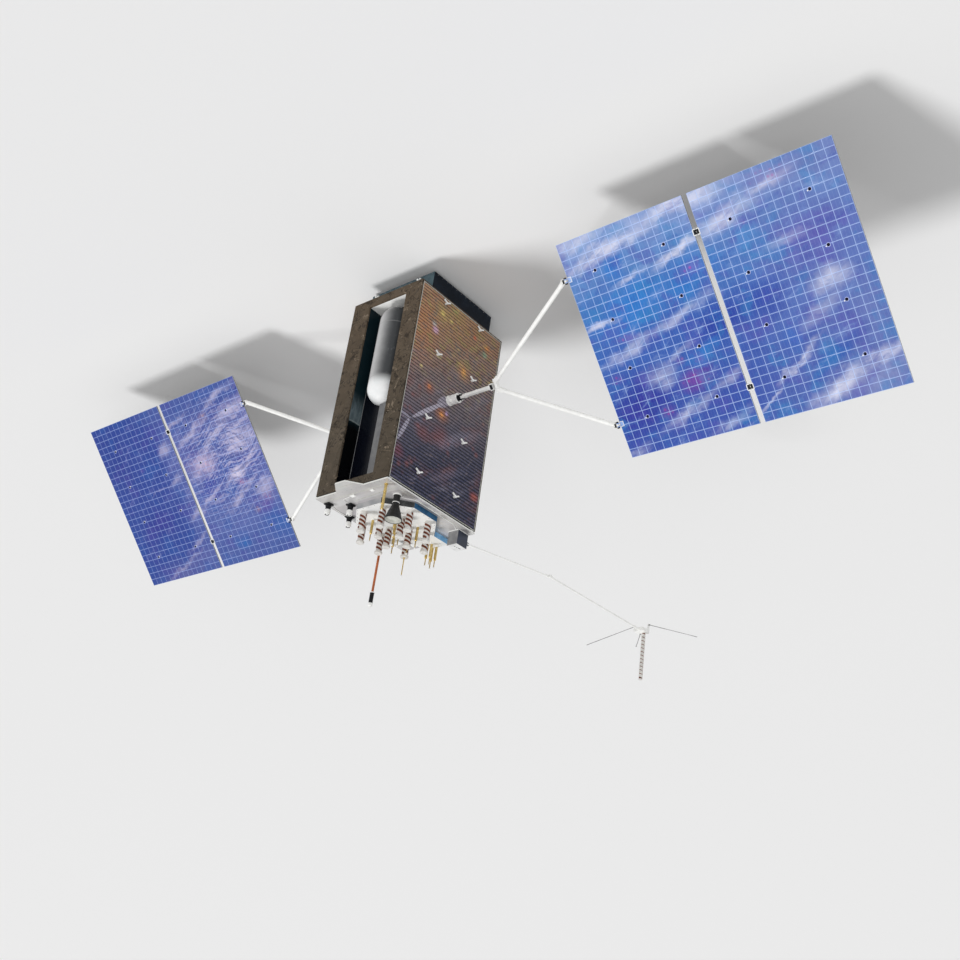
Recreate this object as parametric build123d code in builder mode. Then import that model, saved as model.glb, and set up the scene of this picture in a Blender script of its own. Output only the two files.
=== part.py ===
"""A box-bodied navigation satellite with two folding solar wings and a folding antenna mast.

Millimetres, Z up. It stands on its round launch ring, the antenna deck on top. X is the axis of the two
wings, the open tank bay looks along -Y, and the antenna mast leaves the deck's rear corner on the -X side.
"""

import os
from math import asin, cos, degrees, radians, sin

from build123d import *

os.makedirs("parts", exist_ok=True)

# Body
bus_width = 1560
bus_depth = 2080
bus_height = 3740
aft_deck_thickness = 30
earth_deck_thickness = 25
side_thickness = 25
front_thickness = 30
rear_thickness = 25
deck_groove_height = 18
deck_groove_depth = 12

# Launch ring, skirt and engine below the body
ring_radius = 597
ring_height = 60
ring_flange_height = 12
ring_flange_width = 32
ring_web_thickness = 12
skirt_width = 1440
skirt_depth = 1500
skirt_height = 360
skirt_wall = 30
skirt_port_radius = 480
engine_exit_radius = 150
engine_middle_radius = 108
engine_throat_radius = 28
engine_chamber_radius = 68
engine_wall = 8
engine_exit_height = 75
engine_bell_length = 200

# Small thrusters under the aft deck
thruster_inset = 60
thruster_near_x = 340
thruster_far_x = 620
thruster_block = 46
thruster_drop = 30
nozzle_throat_radius = 9
nozzle_exit_radius = 20
nozzle_length = 62
nozzle_splay = 34

# Running gap between a turning piece and the one beside it, and between a pin and its bore
side_gap = 0.3
pin_gap = 0.05

# Open tank bay in the front face
bay_width = 844
bay_centre_x = -18
bay_bottom = 160
bay_top = 187
bay_depth = 283
liner_thickness = 15
tank_radius = 280
tank_centre_x = -30
tank_end_gap = 38
tank_length = 1871
tank_gap = 0.3
duct_width = 200
duct_depth = 40
duct_centre_x = -130
duct_tank_gap = 10

# Antenna platform: an octagon with a narrower tail at the rear
platform_flats = 1270
platform_height = 100
platform_centre_y = 20
tail_width = 510
tail_inset = 40
tab_base = 590
tab_tip = 215
tab_length = 220
tab_centre_x = 20

# Helical antennas in two rings of the platform
helix_radius = 50
helix_length = 325
helix_cap_radius = 62
helix_cap_height = 25
helix_first_angle = 22.5
outer_ring_radius = 555
outer_ring_count = 8
inner_ring_radius = 250
inner_ring_count = 4

# Rod antennas: a stout sleeve, a thin upper rod and a tip
rod_sleeve_radius = 22
rod_sleeve_length = 255
rod_radius = 9
rod_length = 120
rod_tip_radius = 13
rod_tip_length = 25
rod_square_half = 255
rod_pair_half = 45
rod_tail_insets = (190, 70)
corner_rod_inset_x = 143
corner_rod_inset_y = 134
corner_rod_length = 440
long_rod_inset_x = 112
long_rod_inset_y = 642
long_rod_radius = 20
long_rod_length = 1040
long_rod_tip_radius = 38
long_rod_tip_length = 260

# Horn and the three small deck sensors, each placed by its distance from the deck's +X edge and front edge
horn_inset_x = 230
horn_inset_y = 480
horn_foot_radius = 60
horn_foot_height = 25
horn_neck_radius = 42
horn_neck_length = 150
horn_mouth_radius = 140
horn_length = 440
horn_wall = 10
horn_mouth_depth = 190
sensor_insets = ((80, 220), (395, 400), (75, 700))
sensor_plate = 116
sensor_plate_thickness = 24
sensor_radius = 48
sensor_length = 190

# Solar wings. Local directions of a wing: u outwards along its axis, n towards its sun side
wing_drop = 1945
wing_tilt = 44.35
panel_length = 3360
panel_width = 2146
panel_thickness = 24
panel_gap = 84
panel_start = 3665
hinge_span = 2280
housing_radius = 80
housing_end = 990
housing_flange_radius = 88
housing_flange_thickness = 12
collar_radius = 68
collar_thickness = 18
root_hinge_u = 1045
boom_radius = 35
apex_hinge_u = 1738
apex_hinge_n = -45
yoke_bar_half = 115
yoke_arm_radius = 35
panel_hinge_u = 3640
panel_hinge_n = 45
gap_hinge_n = -25

# Hinge details, one fork and one tongue on a pin for each hinge
root_lug_radius = 24
root_lug_gap = 10
root_lug_width = 20
root_tongue_width = 44
root_pin_radius = 10
apex_lug_radius = 16
apex_lug_width = 18
apex_tongue_width = 54
apex_pin_radius = 8
boom_block_gap = 24
boom_block_length = 51
yoke_block_gap = 20
yoke_block_length = 46
edge_lug_radius = 15
edge_lug_width = 16
edge_tongue_width = 30
edge_pin_radius = 6
yoke_foot_gap = 28
yoke_foot_length = 34
yoke_foot_half = 36
arm_overrun = 20
leaf_length = 66
leaf_thickness = 3
leaf_margin = 11
gap_knuckle_radius = 10
gap_lug_width = 20
gap_tongue_width = 24
gap_pin_radius = 4

# Fittings on the side faces that the folded wing rests near
fitting_half_y = 440
fitting_drops = (1660, 640, -570, -1560)
fitting_post_radius = 22
fitting_post_height = 45
fitting_arm_length = 85
fitting_arm_width = 24
fitting_arm_thickness = 16
fitting_arm_angle = 28

# Antenna mast on the rear corner of the deck
mast_box_width = 212
mast_box_depth = 240
mast_box_height = 250
mast_box_inset_x = 125
mast_box_inset_y = 10
mast_height = 150
mast_radius = 17
mast_root_aside = 12
mast_root_out = 32
inner_arm_aside = 493
inner_arm_out = 1572
outer_arm_aside = 130
outer_arm_out = 2451
mast_hinge_offset = 30
mast_tube_setback = 34
mast_lug_radius = 15
mast_lug_thickness = 12
mast_tongue_thickness = 26
mast_pin_radius = 6
head_width = 200
head_depth = 200
head_drop = 30
head_thickness = 65
head_ears = ((-1, 30, 70), (1, 170, 120))
ear_width = 44
ear_thickness = 12
ear_margin = 22
head_helix_place = (120, 35)
head_helix_radius = 36
head_helix_core = 27
head_helix_length = 883
head_helix_beads = 13
whip_radius = 6
whip_reach = 880
whip_sweep = 190
whip_rise = 290
socket_radius = 14
socket_height = 26
stub_place = (140, -55)
stub_lean = 70
stub_rise = 220
stub_radius = 6
stub_tip_radius = 11

# Levels worked out from the sizes above
skirt_bottom = ring_height
bus_bottom = skirt_bottom + skirt_height
deck_top = bus_bottom + bus_height
side_bottom = bus_bottom + aft_deck_thickness
groove_top = deck_top - earth_deck_thickness
side_top = groove_top - deck_groove_height
side_height = side_top - side_bottom
wing_z = deck_top - wing_drop
platform_top = deck_top + platform_height
front_y = -bus_depth / 2
front_inner_y = front_y + front_thickness
bay_back_y = front_inner_y + bay_depth - front_thickness
bay_low_z = bus_bottom + bay_bottom
bay_high_z = deck_top - bay_top
bay_mid_z = (bay_low_z + bay_high_z) / 2
bay_clear_height = bay_high_z - bay_low_z
mast_z = deck_top + mast_height

# Places on the deck, each from the deck's nearest edges
deck_x = bus_width / 2
rear_y = bus_depth / 2
tail_rear_y = rear_y - tail_inset
corner_rod_place = (corner_rod_inset_x - deck_x, front_y + corner_rod_inset_y)
long_rod_place = (deck_x - long_rod_inset_x, rear_y - long_rod_inset_y)
horn_place = (horn_inset_x - deck_x, front_y + horn_inset_y)
sensor_places = [(deck_x - inset_x, front_y + inset_y) for inset_x, inset_y in sensor_insets]
mast_box_corner = (mast_box_inset_x - deck_x, rear_y - mast_box_inset_y)
mast_root = (mast_box_corner[0] + mast_root_aside, mast_box_corner[1] + mast_root_out)
mast_elbow = (mast_root[0] - inner_arm_aside, mast_root[1] + inner_arm_out)
mast_end = (mast_elbow[0] - outer_arm_aside, mast_elbow[1] + outer_arm_out)


# Launch ring: a channel-shaped hoop with a flange at each end
with BuildPart() as launch_ring:
    flange_inner = ring_radius - ring_flange_width
    web_inner = ring_radius - (ring_flange_width + ring_web_thickness) / 2
    web_height = ring_height - 2 * ring_flange_height
    with BuildSketch() as ring_flange:
        Circle(ring_radius)
        Circle(flange_inner, mode=Mode.SUBTRACT)
    extrude(amount=ring_flange_height)
    with BuildSketch(Plane.XY.offset(ring_flange_height)):
        Circle(web_inner + ring_web_thickness)
        Circle(web_inner, mode=Mode.SUBTRACT)
    extrude(amount=web_height)
    with BuildSketch(Plane.XY.offset(ring_height - ring_flange_height)):
        add(ring_flange.sketch)
    extrude(amount=ring_flange_height)
launch_ring.part.label = "launch_ring"
export_step(launch_ring.part, "parts/launch_ring.step")

# Skirt: a closed box between the ring and the body, with a round port for the engine
with BuildPart() as aft_skirt:
    with BuildSketch(Plane.XY.offset(skirt_bottom)):
        Rectangle(skirt_width, skirt_depth)
    extrude(amount=skirt_height)
    with BuildSketch(Plane.XY.offset(skirt_bottom + skirt_wall)):
        Rectangle(skirt_width - 2 * skirt_wall, skirt_depth - 2 * skirt_wall)
    extrude(amount=skirt_height - 2 * skirt_wall, mode=Mode.SUBTRACT)
    with BuildSketch(Plane.XY.offset(skirt_bottom)):
        Circle(skirt_port_radius)
    extrude(amount=skirt_wall, mode=Mode.SUBTRACT)
aft_skirt.part.label = "aft_skirt"
export_step(aft_skirt.part, "parts/aft_skirt.step")

# Engine: a thin bell and its chamber under the skirt's top plate
engine_top = bus_bottom - skirt_wall
throat_z = engine_exit_height + engine_bell_length
bell_middle_z = engine_exit_height + engine_bell_length / 2
with BuildPart() as apogee_engine:
    with BuildSketch(Plane.XZ):
        with BuildLine():
            ThreePointArc(
                (engine_exit_radius, engine_exit_height),
                (engine_middle_radius, bell_middle_z),
                (engine_throat_radius, throat_z),
            )
            Polyline(
                (engine_throat_radius, throat_z),
                (engine_throat_radius, throat_z + engine_wall),
                (0, throat_z + engine_wall),
                (0, engine_top),
                (engine_chamber_radius, engine_top),
                (engine_chamber_radius, throat_z + 3 * engine_wall),
                (engine_throat_radius + engine_wall, throat_z),
            )
            ThreePointArc(
                (engine_throat_radius + engine_wall, throat_z),
                (engine_middle_radius + engine_wall, bell_middle_z),
                (engine_exit_radius + engine_wall, engine_exit_height),
            )
            Line(
                (engine_exit_radius + engine_wall, engine_exit_height),
                (engine_exit_radius, engine_exit_height),
            )
        make_face()
    revolve(axis=Axis.Z)
apogee_engine.part.label = "apogee_engine"
export_step(apogee_engine.part, "parts/apogee_engine.step")

# Body: two decks, a framed front, a rear panel and two side radiators
with BuildPart() as aft_deck:
    with BuildSketch(Plane.XY.offset(bus_bottom)):
        Rectangle(bus_width, bus_depth)
    extrude(amount=aft_deck_thickness)
aft_deck.part.label = "aft_deck"
export_step(aft_deck.part, "parts/aft_deck.step")

with BuildPart() as earth_deck:
    with BuildSketch(Plane.XY.offset(groove_top)):
        Rectangle(bus_width, bus_depth)
        with BuildLine():
            Polyline(
                (tab_centre_x - tab_base / 2, front_y),
                (tab_centre_x - tab_tip / 2, front_y - tab_length),
                (tab_centre_x + tab_tip / 2, front_y - tab_length),
                (tab_centre_x + tab_base / 2, front_y),
                close=True,
            )
        make_face()
    extrude(amount=earth_deck_thickness)
    with BuildSketch(Plane.XY.offset(side_top)):
        Rectangle(bus_width - 2 * deck_groove_depth, bus_depth - 2 * deck_groove_depth)
    extrude(amount=deck_groove_height)
earth_deck.part.label = "earth_deck"
export_step(earth_deck.part, "parts/earth_deck.step")

with BuildPart() as front_frame:
    with BuildSketch(Plane.XY.offset(side_bottom)):
        with Locations((0, front_y + front_thickness / 2)):
            Rectangle(bus_width, front_thickness)
    extrude(amount=side_height)
    with BuildSketch(Plane.XY.offset(bay_low_z)):
        with Locations((bay_centre_x, front_y + front_thickness / 2)):
            Rectangle(bay_width, front_thickness)
    extrude(amount=bay_clear_height, mode=Mode.SUBTRACT)
front_frame.part.label = "front_frame"
export_step(front_frame.part, "parts/front_frame.step")

with BuildPart() as rear_panel:
    with BuildSketch(Plane.XY.offset(side_bottom)):
        with Locations((0, rear_y - rear_thickness / 2)):
            Rectangle(bus_width, rear_thickness)
    extrude(amount=side_height)
rear_panel.part.label = "rear_panel"
export_step(rear_panel.part, "parts/rear_panel.step")

side_depth = bus_depth - front_thickness - rear_thickness
side_centre_y = (front_thickness - rear_thickness) / 2
for side, side_name in ((-1, "minus_x"), (1, "plus_x")):
    with BuildPart() as radiator:
        with BuildSketch(Plane.XY.offset(side_bottom)):
            with Locations((side * (bus_width - side_thickness) / 2, side_centre_y)):
                Rectangle(side_thickness, side_depth)
        extrude(amount=side_height)
    radiator.part.label = f"radiator_{side_name}"
    export_step(radiator.part, f"parts/radiator_{side_name}.step")

# Bay liner behind the front frame
for side, side_name in ((-1, "minus_x"), (1, "plus_x")):
    with BuildPart() as bay_wall:
        with BuildSketch(Plane.XY.offset(bay_low_z - liner_thickness)):
            wall_depth = bay_back_y + liner_thickness - front_inner_y
            wall_x = bay_centre_x + side * (bay_width + liner_thickness) / 2
            with Locations((wall_x, front_inner_y + wall_depth / 2)):
                Rectangle(liner_thickness, wall_depth)
        extrude(amount=bay_clear_height + 2 * liner_thickness)
    bay_wall.part.label = f"bay_wall_{side_name}"
    export_step(bay_wall.part, f"parts/bay_wall_{side_name}.step")

for end_z, end_name in ((bay_low_z - liner_thickness, "aft"), (bay_high_z, "earth")):
    with BuildPart() as bay_end:
        with BuildSketch(Plane.XY.offset(end_z)):
            with Locations((bay_centre_x, (front_inner_y + bay_back_y) / 2)):
                Rectangle(bay_width, bay_back_y - front_inner_y)
        extrude(amount=liner_thickness)
    bay_end.part.label = f"bay_end_{end_name}"
    export_step(bay_end.part, f"parts/bay_end_{end_name}.step")

# Tank: a capsule that stands half in the back wall of the bay
tank_low_z = bay_low_z + tank_end_gap
tank_mid_z = tank_low_z + tank_length / 2
with BuildPart() as tank:
    with BuildSketch(Plane.XY.offset(tank_low_z + tank_radius)):
        with Locations((tank_centre_x, bay_back_y)):
            Circle(tank_radius)
    extrude(amount=tank_length - 2 * tank_radius)
    with Locations((tank_centre_x, bay_back_y, tank_low_z + tank_radius)):
        Sphere(tank_radius)
    with Locations((tank_centre_x, bay_back_y, tank_low_z + tank_length - tank_radius)):
        Sphere(tank_radius)
tank.part.label = "tank"
export_step(tank.part, "parts/tank.step")

with BuildPart() as bay_back_wall:
    with BuildSketch(Plane.XZ.offset(-bay_back_y - liner_thickness)):
        with Locations((bay_centre_x, bay_mid_z)):
            Rectangle(bay_width, bay_clear_height + 2 * liner_thickness)
        slot_length = tank_length + 2 * tank_gap
        slot_width = 2 * (tank_radius + tank_gap)
        with Locations((tank_centre_x, tank_mid_z)):
            SlotOverall(slot_length, slot_width, rotation=90, mode=Mode.SUBTRACT)
    extrude(amount=liner_thickness)
bay_back_wall.part.label = "bay_back_wall"
export_step(bay_back_wall.part, "parts/bay_back_wall.step")

duct_low_z = tank_low_z + tank_length + duct_tank_gap
with BuildPart() as bay_duct:
    with BuildSketch(Plane.XY.offset(duct_low_z)):
        with Locations((duct_centre_x, bay_back_y - duct_depth / 2)):
            Rectangle(duct_width, duct_depth)
    extrude(amount=bay_high_z - duct_low_z)
bay_duct.part.label = "bay_duct"
export_step(bay_duct.part, "parts/bay_duct.step")

# Antenna platform on the earth deck
octagon_side = platform_flats * (2 ** 0.5 - 1)
tail_length = tail_rear_y - platform_centre_y
with BuildPart() as antenna_platform:
    with BuildSketch(Plane.XY.offset(deck_top)):
        with Locations((0, platform_centre_y)):
            RegularPolygon(platform_flats / 2, 8, major_radius=False, rotation=22.5)
        with Locations((0, platform_centre_y + tail_length / 2)):
            Rectangle(tail_width, tail_length)
    extrude(amount=platform_height)
antenna_platform.part.label = "antenna_platform"
export_step(antenna_platform.part, "parts/antenna_platform.step")

for ring_name, ring_size, ring_count in (
    ("outer", outer_ring_radius, outer_ring_count),
    ("inner", inner_ring_radius, inner_ring_count),
):
    with BuildPart() as helicals:
        with BuildSketch(Plane.XY.offset(platform_top)) as helix_places:
            with Locations((0, platform_centre_y)):
                with PolarLocations(ring_size, ring_count, start_angle=helix_first_angle):
                    Circle(helix_radius)
        extrude(amount=helix_length)
        with BuildSketch(Plane.XY.offset(platform_top + helix_length)):
            with Locations((0, platform_centre_y)):
                with PolarLocations(ring_size, ring_count, start_angle=helix_first_angle):
                    Circle(helix_cap_radius)
        extrude(amount=helix_cap_height)
    helicals.part.label = f"helical_antennas_{ring_name}"
    export_step(helicals.part, f"parts/helical_antennas_{ring_name}.step")

# Rod antennas: a square of four, one in the middle, four on the tail and one on the deck's corner
rod_places = [(0, platform_centre_y)]
rod_places += [(x, platform_centre_y + y) for x in (-rod_square_half, rod_square_half)
               for y in (-rod_square_half, rod_square_half)]
rod_places += [(x, rear_y - inset) for x in (-rod_pair_half, rod_pair_half) for inset in rod_tail_insets]
with BuildPart() as rod_antennas:
    rod_step_z = platform_top
    for rod_step_radius, rod_step_length in (
        (rod_sleeve_radius, rod_sleeve_length),
        (rod_radius, rod_length),
        (rod_tip_radius, rod_tip_length),
    ):
        with BuildSketch(Plane.XY.offset(rod_step_z)):
            with Locations(*rod_places):
                Circle(rod_step_radius)
        extrude(amount=rod_step_length)
        rod_step_z += rod_step_length
    with BuildSketch(Plane.XY.offset(deck_top)):
        with Locations(corner_rod_place):
            Circle(rod_sleeve_radius)
    extrude(amount=corner_rod_length)
    with BuildSketch(Plane.XY.offset(deck_top + corner_rod_length)):
        with Locations(corner_rod_place):
            Circle(rod_tip_radius)
    extrude(amount=rod_tip_length)
rod_antennas.part.label = "rod_antennas"
export_step(rod_antennas.part, "parts/rod_antennas.step")

with BuildPart() as long_rod_antenna:
    with BuildSketch(Plane.XY.offset(deck_top)):
        with Locations(long_rod_place):
            Circle(long_rod_radius)
    extrude(amount=long_rod_length)
    with BuildSketch(Plane.XY.offset(deck_top + long_rod_length)):
        with Locations(long_rod_place):
            Circle(long_rod_tip_radius)
    extrude(amount=long_rod_tip_length)
long_rod_antenna.part.label = "long_rod_antenna"
export_step(long_rod_antenna.part, "parts/long_rod_antenna.step")

# Horn: a foot, a neck and a cone that is hollow at its mouth
cone_length = horn_length - horn_foot_height - horn_neck_length
cone_low_z = deck_top + horn_foot_height + horn_neck_length
mouth_share = horn_mouth_depth / cone_length
mouth_low_radius = horn_mouth_radius - (horn_mouth_radius - horn_neck_radius) * mouth_share - horn_wall
with BuildPart() as horn_sensor:
    with BuildSketch(Plane.XY.offset(deck_top)):
        with Locations(horn_place):
            Circle(horn_foot_radius)
    extrude(amount=horn_foot_height)
    with BuildSketch(Plane.XY.offset(deck_top + horn_foot_height)):
        with Locations(horn_place):
            Circle(horn_neck_radius)
    extrude(amount=horn_neck_length)
    with Locations((*horn_place, cone_low_z)):
        Cone(horn_neck_radius, horn_mouth_radius, cone_length, align=(Align.CENTER, Align.CENTER, Align.MIN))
    with Locations((*horn_place, cone_low_z + cone_length - horn_mouth_depth)):
        Cone(
            mouth_low_radius,
            horn_mouth_radius - horn_wall,
            horn_mouth_depth,
            align=(Align.CENTER, Align.CENTER, Align.MIN),
            mode=Mode.SUBTRACT,
        )
horn_sensor.part.label = "horn_sensor"
export_step(horn_sensor.part, "parts/horn_sensor.step")

with BuildPart() as deck_sensors:
    with BuildSketch(Plane.XY.offset(deck_top)):
        with Locations(*sensor_places):
            Rectangle(sensor_plate, sensor_plate)
    extrude(amount=sensor_plate_thickness)
    with BuildSketch(Plane.XY.offset(deck_top + sensor_plate_thickness)):
        with Locations(*sensor_places):
            Circle(sensor_radius)
    extrude(amount=sensor_length - sensor_plate_thickness)
deck_sensors.part.label = "deck_sensors"
export_step(deck_sensors.part, "parts/deck_sensors.step")

# Small thrusters under the aft deck, outside the skirt: a block with two splayed nozzles each
thruster_y = rear_y - thruster_inset
thruster_places = (
    (thruster_near_x, -thruster_y),
    (-thruster_far_x, -thruster_y),
    (-thruster_near_x, thruster_y),
    (thruster_far_x, thruster_y),
)
with BuildPart() as aft_thrusters:
    for thruster_x, thruster_centre_y in thruster_places:
        with BuildSketch(Plane.XY.offset(bus_bottom - thruster_drop)):
            with Locations((thruster_x, thruster_centre_y)):
                Rectangle(thruster_block, thruster_block)
        extrude(amount=thruster_drop)
        for splay in (-nozzle_splay, nozzle_splay):
            nozzle_throat = (thruster_x, thruster_centre_y, bus_bottom - thruster_drop)
            with Locations(Location(nozzle_throat, (0, 180 + splay, 0))):
                Cone(
                    nozzle_throat_radius,
                    nozzle_exit_radius,
                    nozzle_length,
                    align=(Align.CENTER, Align.CENTER, Align.MIN),
                )
aft_thrusters.part.label = "aft_thrusters"
export_step(aft_thrusters.part, "parts/aft_thrusters.step")

# Fittings on the side faces: a post with two short arms that open towards the aft end
for side, side_name in ((-1, "minus_x"), (1, "plus_x")):
    face_x = side * bus_width / 2
    face = Plane(origin=(face_x, 0, wing_z), x_dir=(0, side, 0), z_dir=(side, 0, 0))
    arm_face = face.offset(fitting_post_height - fitting_arm_thickness)
    fitting_points = [(y, -drop) for y in (-fitting_half_y, fitting_half_y) for drop in fitting_drops]
    with BuildPart() as fittings:
        with BuildSketch(face):
            with Locations(*fitting_points):
                Circle(fitting_post_radius)
        extrude(amount=fitting_post_height)
        for lean in (-1, 1):
            with BuildSketch(arm_face):
                arm_turn = 90 + lean * (90 + fitting_arm_angle)
                with Locations(*[Location((y, z, 0), (0, 0, arm_turn)) for y, z in fitting_points]):
                    Rectangle(fitting_arm_length, fitting_arm_width, align=(Align.MIN, Align.CENTER))
            extrude(amount=fitting_arm_thickness)
    fittings.part.label = f"side_fittings_{side_name}"
    export_step(fittings.part, f"parts/side_fittings_{side_name}.step")


# Solar wings. The two wings differ only in the side they point to
def across(wing, v, u=0.0, n=0.0):
    """Plane square to the fold hinges, v along them: its x is the wing's u and its y the wing's n."""
    origin = wing.origin + wing.x_dir * u + wing.y_dir * v + wing.z_dir * n
    return Plane(origin=origin, x_dir=wing.x_dir, z_dir=-wing.y_dir)


def along(wing, u):
    """Plane square to the wing's axis at the distance u: its x is the wing's v and its y the wing's n."""
    return Plane(origin=wing.origin + wing.x_dir * u, x_dir=wing.y_dir, z_dir=wing.x_dir)


def hinge_plate(wing, hinge, root, radius, v_middle, width):
    """One leaf of a hinge: a web from the root face's two corners that ends round the hinge line."""
    hinge_u, hinge_n = hinge
    root_u, root_low_n, root_high_n = root
    with BuildSketch(across(wing, v_middle)) as plate:
        with Locations((hinge_u, hinge_n)):
            Circle(radius)
        with BuildLine():
            Polyline(
                (root_u, root_low_n),
                (hinge_u, hinge_n - radius if root_low_n < hinge_n else hinge_n),
                (hinge_u, hinge_n + radius if root_high_n > hinge_n else hinge_n),
                (root_u, root_high_n),
                close=True,
            )
        make_face()
    extrude(plate.sketch, amount=width / 2, both=True)


def hinge_fork(wing, hinge, root, radius, v_middle, tongue_width, lug_width, pin_radius):
    """The two outer leaves of a hinge and the pin that joins them."""
    for lean in (-1, 1):
        lug_middle = v_middle + lean * (tongue_width / 2 + side_gap + lug_width / 2)
        hinge_plate(wing, hinge, root, radius, lug_middle, lug_width)
    with BuildSketch(across(wing, v_middle)) as pin:
        with Locations(hinge):
            Circle(pin_radius)
    extrude(pin.sketch, amount=tongue_width / 2 + side_gap + lug_width, both=True)


def hinge_tongue(wing, hinge, root, radius, v_middle, tongue_width, pin_radius):
    """The middle leaf of a hinge, bored for the fork's pin."""
    hinge_plate(wing, hinge, root, radius, v_middle, tongue_width)
    with BuildSketch(across(wing, v_middle)) as bore:
        with Locations(hinge):
            Circle(pin_radius + pin_gap)
    extrude(bore.sketch, amount=tongue_width / 2, both=True, mode=Mode.SUBTRACT)


hinge_half = hinge_span / 2
apex_hinge = (apex_hinge_u, apex_hinge_n)
edge_hinge = (panel_hinge_u, panel_hinge_n)
inner_panel_end = panel_start + panel_width
gap_hinge = (inner_panel_end + panel_gap / 2, gap_hinge_n)
outer_panel_start = inner_panel_end + panel_gap
sun_face = panel_thickness / 2
collar_start = housing_end + side_gap
collar_end = collar_start + collar_thickness
boom_block_end = apex_hinge_u - boom_block_gap
boom_block_start = boom_block_end - boom_block_length
yoke_block_start = apex_hinge_u + yoke_block_gap
yoke_block_end = yoke_block_start + yoke_block_length
yoke_foot_end = panel_hinge_u - yoke_foot_gap
yoke_foot_start = yoke_foot_end - yoke_foot_length
edge_leaf_half = edge_tongue_width / 2 + side_gap + edge_lug_width + leaf_margin
gap_leaf_half = gap_tongue_width / 2 + side_gap + gap_lug_width + leaf_margin
boom_start = root_hinge_u + root_lug_radius + root_lug_gap
arm_near_half = yoke_bar_half - yoke_arm_radius

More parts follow.
